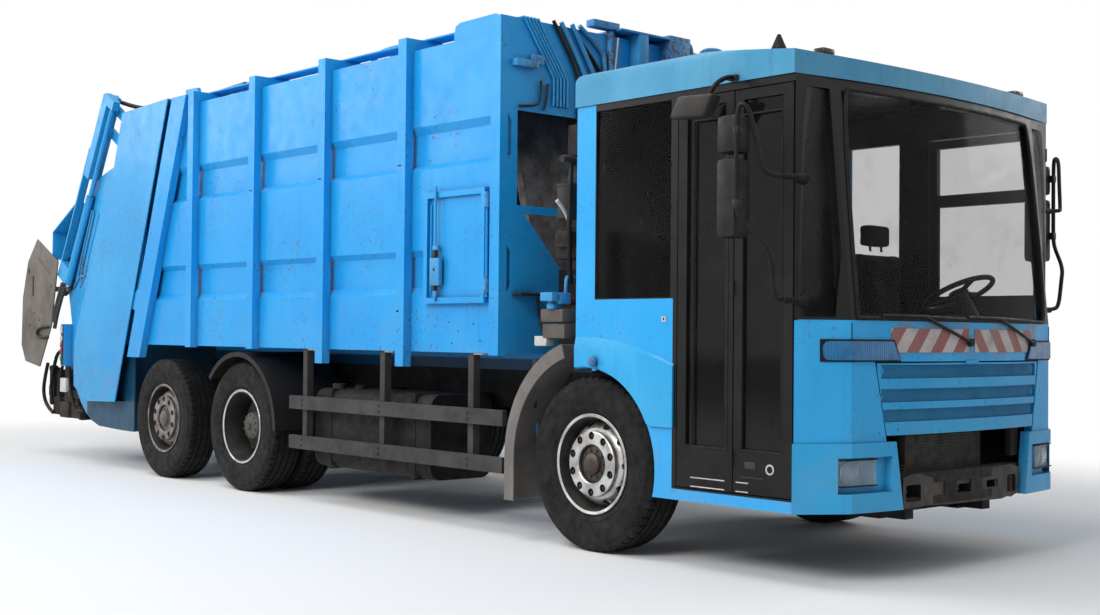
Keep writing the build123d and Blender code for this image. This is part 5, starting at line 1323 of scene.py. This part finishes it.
def roof_upstand():
    plate = Builder()
    plate.prism([(-0.886, 3.22), (-0.886, 3.335), (-0.93, 3.352), (-1.3, 3.348), (-1.345, 3.33),
        (-1.36, 3.29), (-1.36, 3.22)], -1.196, -1.188)
    plate.piece("roof_upstand", "chassis", "body", "body_paint")
    blocks("roof_upstand_slot", "chassis", "seal", "body_paint", 0.0,
        [((-0.96, -1.1975, 3.26), (-0.935, -1.1955, 3.31))])


def shield_edge():
    """The black loop handle and the slanting row of slits on the right shield."""
    points = [(-7.8, -1.25, 1.309), (-7.82, -1.268, 1.312), (-8.04, -1.27, 1.3), (-8.085, -1.27, 1.25),
        (-8.05, -1.27, 1.205), (-7.85, -1.268, 1.205), (-7.83, -1.25, 1.206)]
    pipe("shield_loop", points, 0.013, "tailgate", "hose")
    slits = Builder()
    for i in range(12):
        x, z = -8.13 + 0.028 * i, 2.02 - 0.016 * i
        slits.rod((x, -1.2545, z), (x + 0.014, -1.2545, z - 0.004), 0.0035, 6)
    for x, z in ((-8.2, 1.45), (-8.05, 1.38), (-8.16, 1.3), (-8.3, 1.33), (-8.12, 1.22), (-7.78, 1.72)):
        slits.rod((x, -1.2555, z), (x, -1.25, z), 0.011, 12)
    slits.piece("shield_slits", "tailgate", "seal", "trim_black")


def guard_bolts():
    """Bolts through the side guard's rails, the body's bearers and the hatch's frame."""
    bolts = Builder()
    for x in (-3.17, -2.16, -1.16):
        for z in (0.43, 0.47, 0.73, 0.77):
            bolts.rod((x, -1.205, z), (x, -1.218, z), 0.012, 6)
    bolts.piece("guard_bolts", "chassis", "cast", "chassis_paint")
    rivets = Builder()
    for x, z in ((-1.38, 1.36), (-1.28, 1.3), (-1.12, 1.35), (-1.35, 1.22), (-1.05, 1.24)):
        rivets.rod((x, -1.199, z), (x, -1.2025, z), 0.005, 8)
    rivets.piece("body_rivets", "chassis", "seal", "body_paint")


roof_upstand()
shield_edge()
guard_bolts()


# Seats

CUSHION_CAP = 0.022
CUSHION_START = 0.014
VOXEL = 0.011
SEAM_REACH = 0.02
SEAM_DEPTH = 0.008


def cushion(name, low, high, seams):
    """A padded block: swelled by a cloth simulation, then drawn in along its sewn lines."""
    build = Builder()
    inner_low = [a + CUSHION_START for a in low]
    inner_high = [b - CUSHION_START for b in high]
    build.block(inner_low, inner_high, min(b - a for a, b in zip(inner_low, inner_high)) * 0.3)
    obj = build.piece(name, "chassis", "cloth", "seat_cloth", 60.0)
    remesh = obj.modifiers.new("even", "REMESH")
    remesh.mode = "VOXEL"
    remesh.voxel_size = VOXEL
    apply_modifiers(obj)
    start = [v.co.copy() for v in obj.data.vertices]
    swell = obj.modifiers.new("swell", "CLOTH")
    swell.settings.use_pressure = True
    swell.settings.uniform_pressure_force = 4.0
    swell.settings.effector_weights.gravity = 0.0
    for frame_number in range(1, 21):
        bpy.context.scene.frame_set(frame_number)
    apply_modifiers(obj)
    bpy.context.scene.frame_set(1)
    for vertex, home in zip(obj.data.vertices, start):
        move = vertex.co - home
        if move.length > CUSHION_CAP:
            vertex.co = home + move.normalized() * CUSHION_CAP
    smooth = obj.modifiers.new("finer", "SUBSURF")
    smooth.levels = 1
    smooth.render_levels = 1
    apply_modifiers(obj)
    centre = sum((v.co for v in obj.data.vertices), Vector()) / len(obj.data.vertices)
    for vertex in obj.data.vertices:
        for axis, place_on_axis in seams:
            gap = abs(vertex.co["xyz".index(axis)] - place_on_axis)
            if gap < SEAM_REACH:
                vertex.co += (centre - vertex.co).normalized() * SEAM_DEPTH * (1 - gap / SEAM_REACH) ** 2
    for polygon in obj.data.polygons:
        polygon.use_smooth = True
    return obj


def seats():
    first = cushion("driver_cushion", (0.66, 0.43, 1.12), (1.13, 0.93, 1.25), [("y", 0.53), ("y", 0.83)])
    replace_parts(first, "seats")
    cushion("driver_back", (0.6, 0.43, 1.24), (0.74, 0.93, 1.85), [("y", 0.53), ("y", 0.83), ("z", 1.62)])
    cushion("driver_head_rest", (0.62, 0.54, 1.86), (0.72, 0.82, 2.02), [])
    for name, y0, y1 in (("outer", -1.0, -0.37), ("inner", -0.37, 0.25)):
        middle = (y0 + y1) / 2
        cushion(f"bench_cushion_{name}", (0.0, y0, 1.25), (0.48, y1, 1.4), [("y", middle)])
        cushion(f"bench_back_{name}", (-0.035, y0, 1.4), (0.075, y1, 1.95), [("y", middle), ("z", 1.75)])
    base = Builder()
    base.block((0.72, 0.5, 0.88), (1.04, 0.86, 0.94), 0.01)
    base.block((0.78, 0.56, 0.94), (0.98, 0.8, 1.09), 0.03)
    base.block((0.7, 0.46, 1.09), (1.08, 0.9, 1.125), 0.01)
    base.block((0.02, -0.97, 1.235), (0.46, 0.22, 1.255), 0.004)
    base.rod((0.68, 0.62, 1.84), (0.67, 0.62, 1.9), 0.008)
    base.rod((0.68, 0.74, 1.84), (0.67, 0.74, 1.9), 0.008)
    base.piece("seat_frames", "chassis", "trim", "trim_black")


seats()


# Camera, floor and light

CAMERA_FROM_AXLE = (6.1657, -7.0412, 1.2887)
CAMERA_AZIMUTH_DEG = 48.224
CAMERA_PITCH_DEG = 1.056
CAMERA_ROLL_DEG = 0.5426
FOCAL_PX = 1430.485
PHOTO_W_PX = 1100


def set_camera():
    azimuth, pitch, roll = (math.radians(v) for v in (CAMERA_AZIMUTH_DEG, CAMERA_PITCH_DEG, CAMERA_ROLL_DEG))
    ahead = Vector((-math.sin(azimuth) * math.cos(pitch), math.cos(azimuth) * math.cos(pitch),
        math.sin(pitch)))
    level = ahead.cross(Vector((0, 0, 1))).normalized()
    rise = level.cross(ahead)
    right = math.cos(roll) * level + math.sin(roll) * rise
    up = -math.sin(roll) * level + math.cos(roll) * rise
    matrix = Matrix((right, up, -ahead)).transposed().to_4x4()
    matrix.translation = place(*CAMERA_FROM_AXLE)
    data = bpy.data.cameras.new("camera")
    data.sensor_width = 36.0
    data.lens = FOCAL_PX / PHOTO_W_PX * data.sensor_width
    data.clip_end = 200.0
    camera = bpy.data.objects.new("camera", data)
    camera.matrix_world = matrix
    bpy.context.scene.collection.objects.link(camera)
    bpy.context.scene.camera = camera


def set_world():
    """Soft light, and white where the camera, a reflection or glass sees the world directly."""
    world = bpy.data.worlds.new("studio")
    bpy.context.scene.world = world
    world.use_nodes = True
    tree = world.node_tree
    tree.nodes.clear()
    output = tree.nodes.new("ShaderNodeOutputWorld")
    shades = []
    for colour, strength in (((0.95, 0.97, 1.0, 1.0), 0.32), ((1.0, 1.0, 1.0, 1.0), 1.0)):
        shade = tree.nodes.new("ShaderNodeBackground")
        shade.inputs["Color"].default_value = colour
        shade.inputs["Strength"].default_value = strength
        shades.append(shade.outputs[0])
    path = tree.nodes.new("ShaderNodeLightPath")
    seen = path.outputs["Is Camera Ray"]
    for ray in ("Is Transmission Ray", "Is Glossy Ray"):
        either = tree.nodes.new("ShaderNodeMath")
        either.operation = "MAXIMUM"
        tree.links.new(seen, either.inputs[0])
        tree.links.new(path.outputs[ray], either.inputs[1])
        seen = either.outputs["Value"]
    mix = tree.nodes.new("ShaderNodeMixShader")
    for i, value in enumerate((seen, *shades)):
        tree.links.new(value, mix.inputs[i])
    tree.links.new(mix.outputs[0], output.inputs["Surface"])


def area_lamp(name, location, target, size, power):
    data = bpy.data.lights.new(name, "AREA")
    data.shape = "RECTANGLE"
    data.size = size
    data.size_y = size * 0.7
    data.energy = power
    lamp = bpy.data.objects.new(name, data)
    lamp.location = location
    lamp.rotation_euler = (Vector(target) - Vector(location)).to_track_quat("-Z", "Y").to_euler()
    bpy.context.scene.collection.objects.link(lamp)


def set_floor():
    """A pale floor that keeps the truck's soft shadow."""
    mesh = bpy.data.meshes.new("floor")
    reach = 60.0
    corners = [(-reach, -reach, 0), (reach, -reach, 0), (reach, reach, 0), (-reach, reach, 0)]
    mesh.from_pydata(corners, [], [(0, 1, 2, 3)])
    floor = bpy.data.objects.new("floor", mesh)
    bpy.context.scene.collection.objects.link(floor)
    material, shader, g = new_material("floor_pale")
    g.link(g.mix(g.noise(0.4, 3), (0.9, 0.9, 0.9), (0.93, 0.93, 0.93)), shader.inputs["Base Color"])
    shader.inputs["Roughness"].default_value = 0.85
    away = g.tree.nodes.new("ShaderNodeVectorMath")
    away.operation = "LENGTH"
    g.link(g.stretched((1.0, 1.4, 1.0)), away.inputs[0])
    path = g.tree.nodes.new("ShaderNodeLightPath")
    fade = g.times(g.band(away.outputs["Value"], 6.5, 11.0), path.outputs["Is Camera Ray"])
    white = g.tree.nodes.new("ShaderNodeEmission")
    white.inputs["Color"].default_value = (1.0, 1.0, 1.0, 1.0)
    blend = g.tree.nodes.new("ShaderNodeMixShader")
    g.link(fade, blend.inputs[0])
    g.link(shader.outputs["BSDF"], blend.inputs[1])
    g.link(white.outputs["Emission"], blend.inputs[2])
    output = next(n for n in g.tree.nodes if n.type == "OUTPUT_MATERIAL")
    g.link(blend.outputs["Shader"], output.inputs["Surface"])
    mesh.materials.append(material)


set_camera()
set_world()
set_floor()
MIDDLE = (0.0, 0.0, 1.5)
area_lamp("key", (5.0, -13.5, 10.0), MIDDLE, 8.0, 1250.0)
area_lamp("fill", (-11.0, -9.0, 7.0), MIDDLE, 9.0, 520.0)
area_lamp("far", (6.0, 13.0, 8.0), MIDDLE, 10.0, 420.0)
area_lamp("top", (-1.0, -5.0, 13.0), MIDDLE, 8.0, 600.0)

bpy.context.scene.view_settings.view_transform = "Standard"
